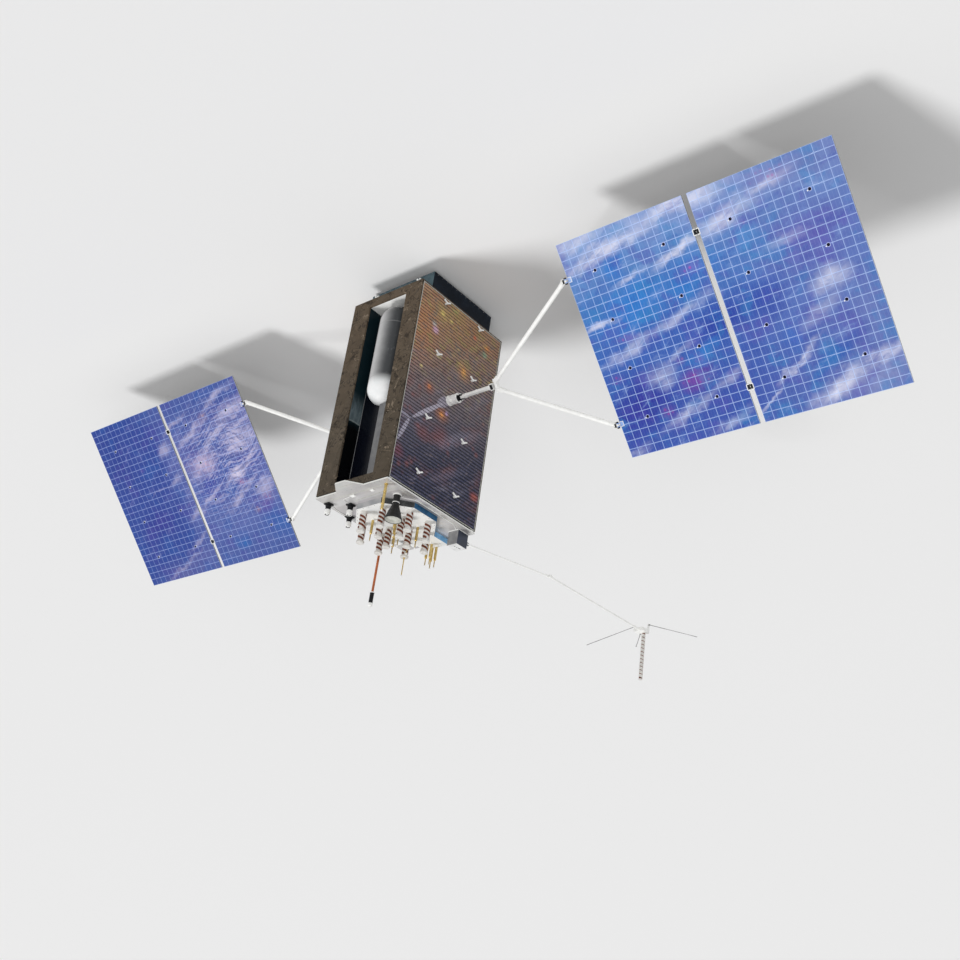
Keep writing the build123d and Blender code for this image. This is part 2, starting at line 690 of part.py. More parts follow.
for side, side_name in ((-1, "minus_x"), (1, "plus_x")):
    sun_direction = (0, -cos(radians(wing_tilt)), sin(radians(wing_tilt)))
    wing = Plane(origin=(0, 0, wing_z), x_dir=(side, 0, 0), z_dir=sun_direction)

    with BuildPart() as wing_drive:
        with BuildSketch(along(wing, bus_width / 2)):
            Circle(housing_flange_radius)
        extrude(amount=housing_flange_thickness)
        with BuildSketch(along(wing, bus_width / 2 + housing_flange_thickness)):
            Circle(housing_radius)
        extrude(amount=housing_end - bus_width / 2 - housing_flange_thickness)
    wing_drive.part.label = f"wing_drive_{side_name}"
    export_step(wing_drive.part, f"parts/wing_drive_{side_name}.step")

    with BuildPart() as wing_collar:
        with BuildSketch(along(wing, collar_start)):
            Circle(collar_radius)
        extrude(amount=collar_thickness)
        root_face = (collar_end, -root_lug_radius, root_lug_radius)
        hinge_fork(wing, (root_hinge_u, 0), root_face, root_lug_radius, 0,
                   root_tongue_width, root_lug_width, root_pin_radius)
    wing_collar.part.label = f"wing_collar_{side_name}"
    export_step(wing_collar.part, f"parts/wing_collar_{side_name}.step")

    with BuildPart() as wing_boom:
        with BuildSketch(along(wing, boom_start)):
            Circle(boom_radius)
        extrude(amount=boom_block_start - boom_start)
        with BuildSketch(along(wing, boom_block_start)):
            Rectangle(2 * (apex_tongue_width / 2 + side_gap + apex_lug_width), 2 * boom_radius)
        extrude(amount=boom_block_end - boom_block_start)
        hinge_tongue(wing, (root_hinge_u, 0), (boom_start, -root_lug_radius, root_lug_radius),
                     root_lug_radius, 0, root_tongue_width, root_pin_radius)
        hinge_fork(wing, apex_hinge, (boom_block_end, -boom_radius, 0), apex_lug_radius, 0,
                   apex_tongue_width, apex_lug_width, apex_pin_radius)
    wing_boom.part.label = f"wing_boom_{side_name}"
    export_step(wing_boom.part, f"parts/wing_boom_{side_name}.step")

    with BuildPart() as wing_yoke:
        with BuildSketch(along(wing, yoke_block_start)):
            Rectangle(2 * yoke_bar_half, 2 * yoke_arm_radius)
        extrude(amount=yoke_block_end - yoke_block_start)
        hinge_tongue(wing, apex_hinge, (yoke_block_start, -yoke_arm_radius, 0), apex_lug_radius, 0,
                     apex_tongue_width, apex_pin_radius)
        for lean in (-1, 1):
            arm_near = wing.origin + wing.x_dir * yoke_block_end + wing.y_dir * lean * arm_near_half
            arm_far = wing.origin + wing.x_dir * yoke_foot_start + wing.y_dir * lean * hinge_half
            arm_direction = (arm_far - arm_near).normalized()
            arm_plane = Plane(origin=arm_near - arm_direction * arm_overrun, z_dir=arm_direction)
            with BuildSketch(arm_plane) as arm_section:
                Circle(yoke_arm_radius)
            extrude(arm_section.sketch, amount=(arm_far - arm_near).length + 2 * arm_overrun)
            with BuildSketch(along(wing, yoke_foot_start)) as foot:
                with Locations((lean * hinge_half, 0)):
                    Rectangle(2 * yoke_foot_half, 2 * yoke_foot_half)
            extrude(foot.sketch, amount=yoke_foot_end - yoke_foot_start)
            hinge_tongue(wing, edge_hinge, (yoke_foot_end, 0, yoke_foot_half), edge_lug_radius,
                         lean * hinge_half, edge_tongue_width, edge_pin_radius)
    wing_yoke.part.label = f"wing_yoke_{side_name}"
    export_step(wing_yoke.part, f"parts/wing_yoke_{side_name}.step")

    with BuildPart() as inner_panel:
        with BuildSketch(wing.offset(-sun_face)) as inner_outline:
            with Locations((panel_start + panel_width / 2, 0)):
                Rectangle(panel_width, panel_length)
        extrude(inner_outline.sketch, amount=panel_thickness)
        for lean in (-1, 1):
            with BuildSketch(wing.offset(sun_face)) as edge_leaf:
                with Locations((panel_start, lean * hinge_half)):
                    Rectangle(leaf_length, 2 * edge_leaf_half, align=(Align.MIN, Align.CENTER))
            extrude(edge_leaf.sketch, amount=leaf_thickness)
            edge_root = (panel_start + edge_lug_radius, sun_face, sun_face + 3 * leaf_thickness)
            hinge_fork(wing, edge_hinge, edge_root, edge_lug_radius, lean * hinge_half,
                       edge_tongue_width, edge_lug_width, edge_pin_radius)
            with BuildSketch(wing.offset(-sun_face)) as gap_leaf:
                with Locations((inner_panel_end, lean * hinge_half)):
                    Rectangle(leaf_length, 2 * gap_leaf_half, align=(Align.MAX, Align.CENTER))
            extrude(gap_leaf.sketch, amount=-leaf_thickness)
            gap_root = (inner_panel_end, -sun_face - leaf_thickness, -sun_face + leaf_thickness)
            hinge_fork(wing, gap_hinge, gap_root, gap_knuckle_radius, lean * hinge_half,
                       gap_tongue_width, gap_lug_width, gap_pin_radius)
    inner_panel.part.label = f"inner_panel_{side_name}"
    export_step(inner_panel.part, f"parts/inner_panel_{side_name}.step")

    with BuildPart() as outer_panel:
        with BuildSketch(wing.offset(-sun_face)) as outer_outline:
            with Locations((outer_panel_start + panel_width / 2, 0)):
                Rectangle(panel_width, panel_length)
        extrude(outer_outline.sketch, amount=panel_thickness)
        for lean in (-1, 1):
            with BuildSketch(wing.offset(-sun_face)) as gap_leaf:
                with Locations((outer_panel_start, lean * hinge_half)):
                    Rectangle(leaf_length, 2 * gap_leaf_half, align=(Align.MIN, Align.CENTER))
            extrude(gap_leaf.sketch, amount=-leaf_thickness)
            gap_root = (outer_panel_start, -sun_face - leaf_thickness, -sun_face + leaf_thickness)
            hinge_tongue(wing, gap_hinge, gap_root, gap_knuckle_radius, lean * hinge_half,
                         gap_tongue_width, gap_pin_radius)
    outer_panel.part.label = f"outer_panel_{side_name}"
    export_step(outer_panel.part, f"parts/outer_panel_{side_name}.step")

# Antenna mast. Both of its hinges stand upright, so the two tubes fold flat across the deck's rear edge
mast_box_centre = (mast_box_corner[0] + mast_box_width / 2, mast_box_corner[1] - mast_box_depth / 2)
with BuildPart() as mast_box:
    with BuildSketch(Plane.XY.offset(deck_top)):
        with Locations(mast_box_centre):
            Rectangle(mast_box_width, mast_box_depth)
    extrude(amount=mast_box_height)
    for lean in (-1, 1):
        lug_low = mast_z + lean * (mast_tongue_thickness / 2 + side_gap + mast_lug_thickness / 2)
        with BuildSketch(Plane.XY.offset(lug_low - mast_lug_thickness / 2)):
            with Locations(mast_root):
                Circle(mast_lug_radius)
            with Locations((mast_root[0], mast_box_corner[1])):
                Rectangle(2 * mast_lug_radius, mast_root_out, align=(Align.CENTER, Align.MIN))
        extrude(amount=mast_lug_thickness)
    with BuildSketch(Plane.XY.offset(mast_z - mast_tongue_thickness / 2 - side_gap)):
        with Locations(mast_root):
            Circle(mast_pin_radius)
    extrude(amount=mast_tongue_thickness + 2 * side_gap)
mast_box.part.label = "mast_box"
export_step(mast_box.part, "parts/mast_box.step")

root_point = Vector(*mast_root, mast_z)
elbow_point = Vector(*mast_elbow, mast_z)
end_point = Vector(*mast_end, mast_z)
inner_direction = (elbow_point - root_point).normalized()
inner_left = Vector(0, 0, 1).cross(inner_direction)
elbow_axis = elbow_point + inner_left * mast_hinge_offset
axis_to_end = end_point - elbow_axis
outer_turn = degrees(asin(mast_hinge_offset / axis_to_end.length))
outer_direction = axis_to_end.rotate(Axis.Z, outer_turn).normalized()
outer_left = Vector(0, 0, 1).cross(outer_direction)
outer_line_start = elbow_axis - outer_left * mast_hinge_offset


def mast_tube(start, end):
    """A round tube of the mast between two points."""
    with BuildSketch(Plane(origin=start, z_dir=end - start)) as section:
        Circle(mast_radius)
    extrude(section.sketch, amount=(end - start).length)


def mast_leaf(axis_point, tube_end, low_z, thickness):
    """A flat hinge leaf from a tube's end to the upright hinge line, round at the hinge."""
    to_hinge = axis_point - tube_end
    with BuildSketch(Plane(origin=(0, 0, low_z), x_dir=(1, 0, 0), z_dir=(0, 0, 1))) as leaf:
        with Locations((axis_point.X, axis_point.Y)):
            Circle(mast_lug_radius)
        across_leaf = Vector(0, 0, 1).cross(to_hinge).normalized() * mast_lug_radius
        with BuildLine():
            Polyline(
                tuple(tube_end + across_leaf)[:2],
                tuple(tube_end - across_leaf)[:2],
                tuple(axis_point - across_leaf)[:2],
                tuple(axis_point + across_leaf)[:2],
                close=True,
            )
        make_face()
    extrude(leaf.sketch, amount=thickness)


tongue_low = mast_z - mast_tongue_thickness / 2
with BuildPart() as mast_inner_arm:
    inner_tube_start = root_point + inner_direction * mast_tube_setback
    inner_tube_end = elbow_point - inner_direction * mast_tube_setback
    mast_tube(inner_tube_start, inner_tube_end)
    mast_leaf(root_point, inner_tube_start + inner_direction * mast_radius, tongue_low, mast_tongue_thickness)
    with BuildSketch(Plane.XY.offset(tongue_low)):
        with Locations(mast_root):
            Circle(mast_pin_radius + pin_gap)
    extrude(amount=mast_tongue_thickness, mode=Mode.SUBTRACT)
    for lean in (-1, 1):
        lug_middle = mast_z + lean * (mast_tongue_thickness / 2 + side_gap + mast_lug_thickness / 2)
        mast_leaf(elbow_axis, inner_tube_end - inner_direction * 2 * mast_radius,
                  lug_middle - mast_lug_thickness / 2, mast_lug_thickness)
    with BuildSketch(Plane.XY.offset(tongue_low - side_gap)) as elbow_pin:
        with Locations((elbow_axis.X, elbow_axis.Y)):
            Circle(mast_pin_radius)
    extrude(elbow_pin.sketch, amount=mast_tongue_thickness + 2 * side_gap)
mast_inner_arm.part.label = "mast_inner_arm"
export_step(mast_inner_arm.part, "parts/mast_inner_arm.step")

with BuildPart() as mast_outer_arm:
    outer_tube_start = outer_line_start + outer_direction * mast_tube_setback
    mast_tube(outer_tube_start, end_point)
    mast_leaf(elbow_axis, outer_tube_start + outer_direction * mast_radius, tongue_low, mast_tongue_thickness)
    with BuildSketch(Plane.XY.offset(tongue_low)):
        with Locations((elbow_axis.X, elbow_axis.Y)):
            Circle(mast_pin_radius + pin_gap)
    extrude(amount=mast_tongue_thickness, mode=Mode.SUBTRACT)
mast_outer_arm.part.label = "mast_outer_arm"
export_step(mast_outer_arm.part, "parts/mast_outer_arm.step")

# Head of the mast: a plate on the tube's end with an ear on each side that hangs below it and holds a whip
head_plane = Plane(origin=end_point, x_dir=outer_direction, z_dir=(0, 0, 1))
head_top = head_thickness - head_drop
with BuildPart() as mast_head:
    with BuildSketch(head_plane.offset(-head_drop)):
        Rectangle(head_depth, head_width, align=(Align.MIN, Align.CENTER))
    extrude(amount=head_thickness)
    for lean, ear_depth, whip_drop in head_ears:
        ear_height = whip_drop + ear_margin - head_drop
        with BuildSketch(head_plane.offset(-head_drop)) as ear:
            with Locations((ear_depth, lean * (head_width - ear_thickness) / 2)):
                Rectangle(ear_width, ear_thickness)
        extrude(ear.sketch, amount=-ear_height)
mast_head.part.label = "mast_head"
export_step(mast_head.part, "parts/mast_head.step")

bead_pitch = head_helix_length / head_helix_beads
with BuildPart() as mast_helix:
    with BuildSketch(head_plane.offset(head_top)):
        with Locations(head_helix_place):
            Circle(head_helix_core)
    extrude(amount=head_helix_length)
    for bead in range(head_helix_beads):
        bead_plane = head_plane.offset(head_top + bead * bead_pitch + bead_pitch / 4)
        with BuildSketch(bead_plane):
            with Locations(head_helix_place):
                Circle(head_helix_radius)
        extrude(amount=bead_pitch / 2)
mast_helix.part.label = "mast_helix"
export_step(mast_helix.part, "parts/mast_helix.step")

# Two long whips from the ears and a short leaning stub with a round tip on the plate
with BuildPart() as mast_whips:
    for lean, ear_depth, whip_drop in head_ears:
        ear_side = outer_left * lean
        socket_point = end_point + outer_direction * ear_depth + ear_side * head_width / 2
        socket_point = socket_point - Vector(0, 0, whip_drop)
        with BuildSketch(Plane(origin=socket_point, z_dir=ear_side)) as socket:
            Circle(socket_radius)
        extrude(socket.sketch, amount=socket_height)
        whip_line = Vector(-lean * whip_reach, lean * whip_sweep, whip_rise)
        whip_start = socket_point + ear_side * socket_height / 2
        with BuildSketch(Plane(origin=whip_start, z_dir=whip_line)) as whip:
            Circle(whip_radius)
        extrude(whip.sketch, amount=whip_line.length)
    stub_point = end_point + outer_direction * stub_place[0] + outer_left * stub_place[1]
    stub_point = stub_point + Vector(0, 0, head_top)
    with BuildSketch(Plane(origin=stub_point, z_dir=(0, 0, 1))) as stub_socket:
        Circle(socket_radius)
    extrude(stub_socket.sketch, amount=socket_height / 2)
    stub_line = Vector(0, 0, stub_rise) - outer_left * stub_lean
    stub_start = stub_point + Vector(0, 0, socket_height / 4)
    with BuildSketch(Plane(origin=stub_start, z_dir=stub_line)) as stub:
        Circle(stub_radius)
    extrude(stub.sketch, amount=stub_line.length)
    with Locations(stub_start + stub_line):
        Sphere(stub_tip_radius)
mast_whips.part.label = "mast_whips"
export_step(mast_whips.part, "parts/mast_whips.step")
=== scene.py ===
from math import cos, pi, radians, sin, sqrt

import bmesh
import bpy
from mathutils import Matrix, Vector


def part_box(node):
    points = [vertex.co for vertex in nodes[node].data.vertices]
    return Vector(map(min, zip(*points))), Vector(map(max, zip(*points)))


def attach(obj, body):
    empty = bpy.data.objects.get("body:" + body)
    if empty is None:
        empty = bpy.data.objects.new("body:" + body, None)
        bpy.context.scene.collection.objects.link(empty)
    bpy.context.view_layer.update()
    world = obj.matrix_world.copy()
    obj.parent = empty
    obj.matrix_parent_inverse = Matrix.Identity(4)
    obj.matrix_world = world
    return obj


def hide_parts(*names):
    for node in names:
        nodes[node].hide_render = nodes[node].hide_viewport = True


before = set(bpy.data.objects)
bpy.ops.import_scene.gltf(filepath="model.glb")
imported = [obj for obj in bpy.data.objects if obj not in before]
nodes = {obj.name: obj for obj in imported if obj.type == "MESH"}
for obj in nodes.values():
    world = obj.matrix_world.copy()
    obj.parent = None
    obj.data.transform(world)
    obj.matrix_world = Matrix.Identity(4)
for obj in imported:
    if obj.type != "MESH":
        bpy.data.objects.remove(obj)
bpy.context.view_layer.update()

bpy.context.scene.view_settings.view_transform = "Standard"

# Levels, sizes and counts that the pieces below share, in metres and radians
deck_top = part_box("antenna_platform")[0].z
platform_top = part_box("antenna_platform")[1].z
aft_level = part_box("aft_deck")[0].z
half_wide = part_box("aft_deck")[1].x
half_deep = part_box("aft_deck")[1].y
side_low, side_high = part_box("radiator_minus_x")[0].z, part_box("radiator_minus_x")[1].z
strip_count = 62
strip_pitch = (side_high - side_low - 0.03) / strip_count
bay_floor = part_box("bay_end_aft")[1].z
platform_middle = 0.02
wing_height = 2.215
wing_tilt = radians(44.35)
wing_v = Vector((0, sin(wing_tilt), cos(wing_tilt)))
wing_n = Vector((0, -cos(wing_tilt), sin(wing_tilt)))
sides = ((-1, "minus_x"), (1, "plus_x"))
panel_length = 3.36
panel_width = 2.146
panel_starts = {"inner": 3.665, "outer": 5.895}
cell_columns, cell_rows, cell_gap = 15, 26, 0.0125
cell_wide = panel_width / cell_columns
cell_tall = panel_length / cell_rows
sun_face = 0.012
root_hinge, edge_hinge = 1.045, 3.64
hinge_half = 1.14


# Finishes
def paint(red, green, blue):
    """A screen colour, 0 to 1, as the linear colour that a material takes."""
    linear = [c / 12.92 if c <= 0.04045 else ((c + 0.055) / 1.055) ** 2.4 for c in (red, green, blue)]
    return (*linear, 1.0)


class Signal:
    """One output in a finish. Python's operators add Math nodes to it."""

    def __init__(self, finish, socket):
        self.finish = finish
        self.socket = socket

    def maths(self, operation, *others):
        return self.finish.node("ShaderNodeMath", {"operation": operation},
                                dict(enumerate((self, *others))))

    def __add__(self, other):
        return self.maths("ADD", other)

    def __sub__(self, other):
        return self.maths("SUBTRACT", other)

    def __rsub__(self, other):
        return self.maths("MULTIPLY", -1.0) + other

    def __mul__(self, other):
        return self.maths("MULTIPLY", other)

    def __truediv__(self, other):
        return self.maths("DIVIDE", other)

    def __abs__(self):
        return self.maths("ABSOLUTE")

    def larger(self, other):
        return self.maths("MAXIMUM", other)

    def fraction(self):
        return self.maths("FRACT")

    __radd__ = __add__
    __rmul__ = __mul__


class Finish:
    """One material, built on a Principled shader."""

    def __init__(self, name, roughness=0.5, metallic=0.0, **constants):
        self.material = bpy.data.materials.new(name)
        self.material.use_nodes = True
        self.tree = self.material.node_tree
        self.shader = self.tree.nodes["Principled BSDF"]
        self.shader.inputs["Roughness"].default_value = roughness
        self.shader.inputs["Metallic"].default_value = metallic
        for constant, value in constants.items():
            socket = constant if constant == "IOR" else constant.replace("_", " ").title()
            self.shader.inputs[socket].default_value = value
        self.place = self.node("ShaderNodeTexCoord", output="Object")
        self.x, self.y, self.z = self.parts(self.place)

    def node(self, kind, settings=None, inputs=None, output=0):
        """Adds a node, sets it up and gives one of its outputs."""
        made = self.tree.nodes.new(kind)
        for name, value in (settings or {}).items():
            setattr(made, name, value)
        for name, value in (inputs or {}).items():
            if isinstance(value, Signal):
                self.tree.links.new(value.socket, made.inputs[name])
            else:
                made.inputs[name].default_value = value
        return Signal(self, made.outputs[output])

    def parts(self, vector):
        split = self.node("ShaderNodeSeparateXYZ", None, {0: vector}).socket.node
        return [Signal(self, socket) for socket in split.outputs]

    def point(self, x, y, z=0.0):
        return self.node("ShaderNodeCombineXYZ", None, {0: x, 1: y, 2: z})

    def lay(self, vector, middle=(0, 0, 0), size=(1, 1, 1), turn=0.0):
        """The vector measured from a middle, turned about Z and in units of size."""
        inputs = {"Vector": vector, "Location": middle, "Rotation": (0, 0, turn), "Scale": size}
        return self.node("ShaderNodeMapping", {"vector_type": "TEXTURE"}, inputs)

    def noise(self, vector, scale, detail=3.0, rough=0.5, twist=0.0):
        inputs = {"Vector": vector, "Scale": scale, "Detail": detail, "Roughness": rough,
                  "Distortion": twist}
        return self.node("ShaderNodeTexNoise", None, inputs)

    def cells(self, vector, scale, feature="F1", output="Distance"):
        return self.node("ShaderNodeTexVoronoi", {"feature": feature}, {"Vector": vector, "Scale": scale},
                         output)

    def between(self, value, low, high, to_low=0.0, to_high=1.0):
        """The value's way from low to high, smoothed, as a number from to_low to to_high."""
        settings = {"interpolation_type": "SMOOTHSTEP"}
        inputs = {0: value, 1: low, 2: high, 3: to_low, 4: to_high}
        return self.node("ShaderNodeMapRange", settings, inputs)

    def blend(self, share, first, second):
        return self.node("ShaderNodeMix", {"data_type": "RGBA"}, {0: share, 6: first, 7: second}, 2)

    def spot(self, vector, middle, size, turn=0.0, soft=1.0):
        """A soft oval spot: 0 from its edge outwards, rising to 1 over its soft share."""
        local = self.lay(vector, (*middle, 0), (*size, 1), turn)
        reach = self.node("ShaderNodeVectorMath", {"operation": "LENGTH"}, {0: local}, "Value")
        return self.between(reach, 1.0, 1.0 - soft)

    def colour(self, value):
        self.link(value, "Base Color")

    def link(self, value, name):
        if isinstance(value, Signal):
            self.tree.links.new(value.socket, self.shader.inputs[name])
        else:
            self.shader.inputs[name].default_value = value

    def relief(self, height, depth, strength=1.0):
        """Raises and sinks the look of the surface by a height, over a depth in metres."""
        inputs = {"Height": height, "Distance": depth, "Strength": strength}
        self.link(self.node("ShaderNodeBump", None, inputs), "Normal")


def mottled(name, first, second, scale, roughness, metallic=0.0, relief=0.0, **constants):
    """A finish with soft patches of two tones, a fine grain and a little wear in its gloss."""
    finish = Finish(name, roughness, metallic, **constants)
    patches = finish.noise(finish.place, scale, 4.0, 0.6)
    fine = finish.noise(finish.place, 60.0, 3.0, 0.6)
    finish.colour(finish.blend(finish.between(patches * 0.7 + fine * 0.3, 0.35, 0.65), first, second))
    finish.link(finish.between(fine, 0.3, 0.7, roughness - 0.06, roughness + 0.08), "Roughness")
    if relief:
        finish.relief(patches * 0.5 + fine * 0.5, relief)
    return finish.material


def tube_paint(name, tone, shade):
    """White paint over a wound tube: faint winding lines, slightly greyer patches."""
    finish = Finish(name, 0.42)
    soft = finish.noise(finish.place, 9.0, 3.0, 0.6)
    lines = finish.noise(finish.lay(finish.place, size=(0.02, 1, 1)), 3.0, 2.0)
    finish.colour(finish.blend(finish.between(soft, 0.35, 0.75), tone, shade))
    finish.link(finish.between(soft, 0.3, 0.7, 0.36, 0.5), "Roughness")
    finish.relief(lines + soft * 0.5, 0.0006)
    return finish.material


def wing_place(finish):
    """Distance out along the wing, place across it and height over its middle plane."""
    out = abs(finish.x)
    across = finish.y * wing_v.y + (finish.z - wing_height) * wing_v.z
    rise = finish.y * wing_n.y + (finish.z - wing_height) * wing_n.z
    return out, across, rise


def streaks(finish, flat, turn, long_size, scale, rough=0.6):
    """Streaky noise drawn out along one direction of the wing."""
    bent = finish.noise(flat, 0.6, 2.0)
    laid = finish.lay(flat, (0, 0, 0), (long_size, 1, 1), turn)
    shifted = finish.node("ShaderNodeVectorMath", {"operation": "ADD"},
                          {0: laid, 1: finish.point(0, bent * 0.9)})
    return finish.noise(shifted, scale, 6.0, rough)


def glass(red, green, blue):
    """A colour as it looks under cover glass: the paint less the glass's own faint gleam."""
    return (*[max(c - 0.022, 0.004) for c in paint(red, green, blue)[:3]], 1.0)


# Painted reflection on each wing's cells, by u and v: levels, its outer end, soft patches, cloud streaks and
# sparks
minus_x_levels = ((-1.60, (0.56, 0.64, 0.83)), (-1.15, (0.40, 0.55, 0.78)), (-0.55, (0.31, 0.48, 0.75)),
                  (0.20, (0.28, 0.41, 0.71)), (1.10, (0.27, 0.36, 0.67)))
minus_x_end = (5.5, 7.6, 0.66, (0.44, 0.50, 0.73))
minus_x_sky = (((4.10, 0.98), (0.95, 0.62), -0.42, 0.95, (0.23, 0.24, 0.60)),
               ((5.15, 0.78), (0.55, 0.30), -0.5, 0.85, (0.38, 0.28, 0.63)),
               ((5.80, 0.10), (0.75, 0.42), -0.3, 0.95, (0.22, 0.27, 0.63)),
               ((6.45, 0.02), (0.55, 0.48), -0.3, 0.75, (0.24, 0.31, 0.65)),
               ((4.50, -0.45), (0.90, 0.50), -0.3, 0.75, (0.22, 0.51, 0.82)),
               ((4.45, -1.08), (0.30, 0.42), 0.3, 0.85, (0.22, 0.49, 0.80)),
               ((5.55, -0.60), (0.70, 0.34), -0.3, 0.80, (0.22, 0.50, 0.80)),
               ((4.75, 0.02), (0.50, 0.24), -0.3, 0.60, (0.31, 0.32, 0.68)),
               ((5.30, 0.50), (0.60, 0.18), -0.4, 0.75, (0.24, 0.50, 0.79)),
               ((6.55, -0.95), (0.30, 0.60), 0.1, 0.65, (0.34, 0.56, 0.80)),
               ((7.25, -0.55), (1.00, 0.62), -0.2, 0.80, (0.42, 0.41, 0.70)),
               ((7.15, 1.05), (0.85, 0.17), -0.55, 0.90, (0.24, 0.38, 0.70)),
               ((6.45, 1.42), (0.60, 0.26), -0.5, 0.50, (0.33, 0.42, 0.68)),
               ((6.70, 0.68), (0.28, 0.26), 0.0, 0.60, (0.25, 0.44, 0.76)),
               ((7.85, 0.60), (0.40, 0.80), 0.0, 0.45, (0.47, 0.52, 0.73)),
               ((7.70, 1.45), (0.90, 0.42), -0.35, 0.55, (0.60, 0.63, 0.79)),
               ((4.70, -1.62), (2.60, 0.30), -0.06, 0.65, (0.60, 0.68, 0.85)),
               ((7.60, -1.50), (0.80, 0.30), 0.0, 0.50, (0.40, 0.48, 0.70)))
minus_x_cloud = (((4.85, 1.24), (0.75, 0.13), -0.38, 0.62), ((5.55, 0.92), (0.50, 0.10), -0.42, 0.40),
                 ((5.35, 1.58), (0.60, 0.12), -0.35, 0.42), ((4.66, 0.62), (0.36, 0.26), -0.3, 0.55),
                 ((4.95, 0.38), (0.42, 0.07), -0.35, 0.40), ((4.25, 0.14), (0.85, 0.15), -0.28, 0.62),
                 ((5.20, -0.12), (0.90, 0.14), -0.26, 0.55), ((3.92, -0.34), (0.42, 0.09), -0.12, 0.85),
                 ((4.60, -0.86), (0.46, 0.07), -0.22, 0.80), ((5.45, -0.99), (0.62, 0.12), -0.27, 1.0),
                 ((6.25, -1.18), (0.80, 0.22), -0.20, 0.80), ((7.00, -1.42), (0.55, 0.12), -0.30, 0.62),
                 ((4.45, -1.36), (1.25, 0.17), -0.17, 1.0), ((5.70, -1.60), (1.10, 0.13), -0.06, 0.95),
                 ((4.00, -1.62), (0.60, 0.20), 0.0, 0.70), ((6.70, 0.98), (0.62, 0.085), -0.55, 0.95),
                 ((6.10, 1.42), (0.45, 0.05), -0.55, 0.60), ((7.10, 1.48), (0.75, 0.22), -0.42, 1.0),
                 ((7.75, 1.22), (0.55, 0.14), -0.42, 0.85), ((7.42, 0.03), (0.46, 0.24), -0.2, 0.80),
                 ((7.20, 0.40), (0.60, 0.14), -0.5, 0.35), ((7.05, -0.64), (0.50, 0.10), -0.1, 0.38),
                 ((6.10, -1.58), (0.55, 0.16), 0.0, 0.60), ((3.85, 1.62), (0.40, 0.10), -0.3, 0.45))
minus_x_glints = (((4.50, 1.16), (0.20, 0.16), (0.66, 0.30, 0.62)),
                  ((5.10, 0.82), (0.34, 0.24), (0.68, 0.32, 0.62)),
                  ((5.27, 0.55), (0.14, 0.12), (0.62, 0.34, 0.66)),
                  ((4.96, 0.50), (0.12, 0.10), (0.70, 0.40, 0.62)),
                  ((3.87, 0.48), (0.18, 0.14), (0.56, 0.32, 0.66)),
                  ((4.30, -0.05), (0.26, 0.12), (0.68, 0.38, 0.64)),
                  ((5.62, -0.70), (0.26, 0.14), (0.70, 0.34, 0.68)),
                  ((6.50, -1.05), (0.16, 0.10), (0.66, 0.44, 0.72)),
                  ((7.10, -1.50), (0.5, 0.2), (0.66, 0.52, 0.72)))
plus_x_levels = ((-1.60, (0.31, 0.38, 0.63)), (-0.90, (0.39, 0.43, 0.67)), (0.00, (0.41, 0.45, 0.69)),
                 (0.90, (0.36, 0.42, 0.66)), (1.60, (0.32, 0.39, 0.63)))
plus_x_end = (5.7, 6.5, 0.92, (0.21, 0.29, 0.58))
plus_x_sky = (((7.10, 0.50), (0.75, 0.40), 0.25, 0.60, (0.23, 0.23, 0.55)),
              ((7.60, -1.00), (0.60, 0.90), 0.0, 0.50, (0.19, 0.25, 0.54)),
              ((6.90, 1.62), (1.60, 0.52), 0.22, 0.90, (0.39, 0.41, 0.63)),
              ((6.05, 1.30), (0.45, 0.80), 0.0, 0.55, (0.38, 0.41, 0.64)),
              ((6.20, -1.62), (0.80, 0.42), 0.2, 0.55, (0.36, 0.40, 0.63)),
              ((6.05, -0.40), (0.28, 1.0), 0.0, 0.55, (0.36, 0.42, 0.66)),
              ((3.95, 1.10), (0.45, 0.50), 0.0, 0.80, (0.24, 0.40, 0.67)),
              ((5.07, 1.32), (0.28, 0.20), 0.0, 0.85, (0.23, 0.43, 0.70)),
              ((4.80, 0.28), (0.32, 0.17), 0.3, 0.80, (0.22, 0.38, 0.67)),
              ((4.05, 0.75), (0.36, 0.26), 0.0, 0.75, (0.43, 0.35, 0.64)),
              ((5.30, 0.08), (0.75, 0.16), 0.42, 0.75, (0.24, 0.33, 0.65)),
              ((4.55, -0.10), (0.80, 0.13), 0.42, 0.60, (0.30, 0.37, 0.66)),
              ((5.25, -1.35), (0.90, 0.45), 0.2, 0.60, (0.30, 0.36, 0.61)),
              ((4.95, -0.60), (0.70, 0.12), 0.42, 0.50, (0.32, 0.38, 0.66)))
plus_x_cloud = (((4.52, 0.04), (0.50, 0.15), 0.32, 1.0), ((4.10, -0.16), (0.60, 0.10), 0.42, 0.85),
                ((3.95, 0.42), (0.50, 0.20), 0.3, 0.60), ((4.60, 0.42), (0.85, 0.09), 0.42, 0.70),
                ((5.27, -0.34), (0.62, 0.34), 0.35, 0.95), ((5.40, 0.30), (0.55, 0.08), 0.42, 0.60),
                ((4.05, -0.62), (0.80, 0.42), 0.35, 0.75), ((4.70, -0.78), (0.80, 0.14), 0.38, 0.80),
                ((4.10, -1.12), (0.75, 0.22), 0.35, 0.80), ((5.30, -0.95), (0.80, 0.12), 0.36, 0.62),
                ((4.25, -1.45), (0.80, 0.10), 0.3, 0.55), ((5.60, -1.25), (0.55, 0.08), 0.3, 0.50),
                ((6.15, -0.85), (0.40, 0.16), 0.42, 0.60), ((6.15, -0.20), (0.35, 0.10), 0.5, 0.50),
                ((5.95, 0.55), (0.35, 0.10), 0.42, 0.45), ((6.20, 1.05), (0.60, 0.08), 0.36, 0.40),
                ((6.90, 1.45), (1.00, 0.08), 0.30, 0.40), ((6.60, -0.10), (0.6, 0.04), 0.12, 0.30))
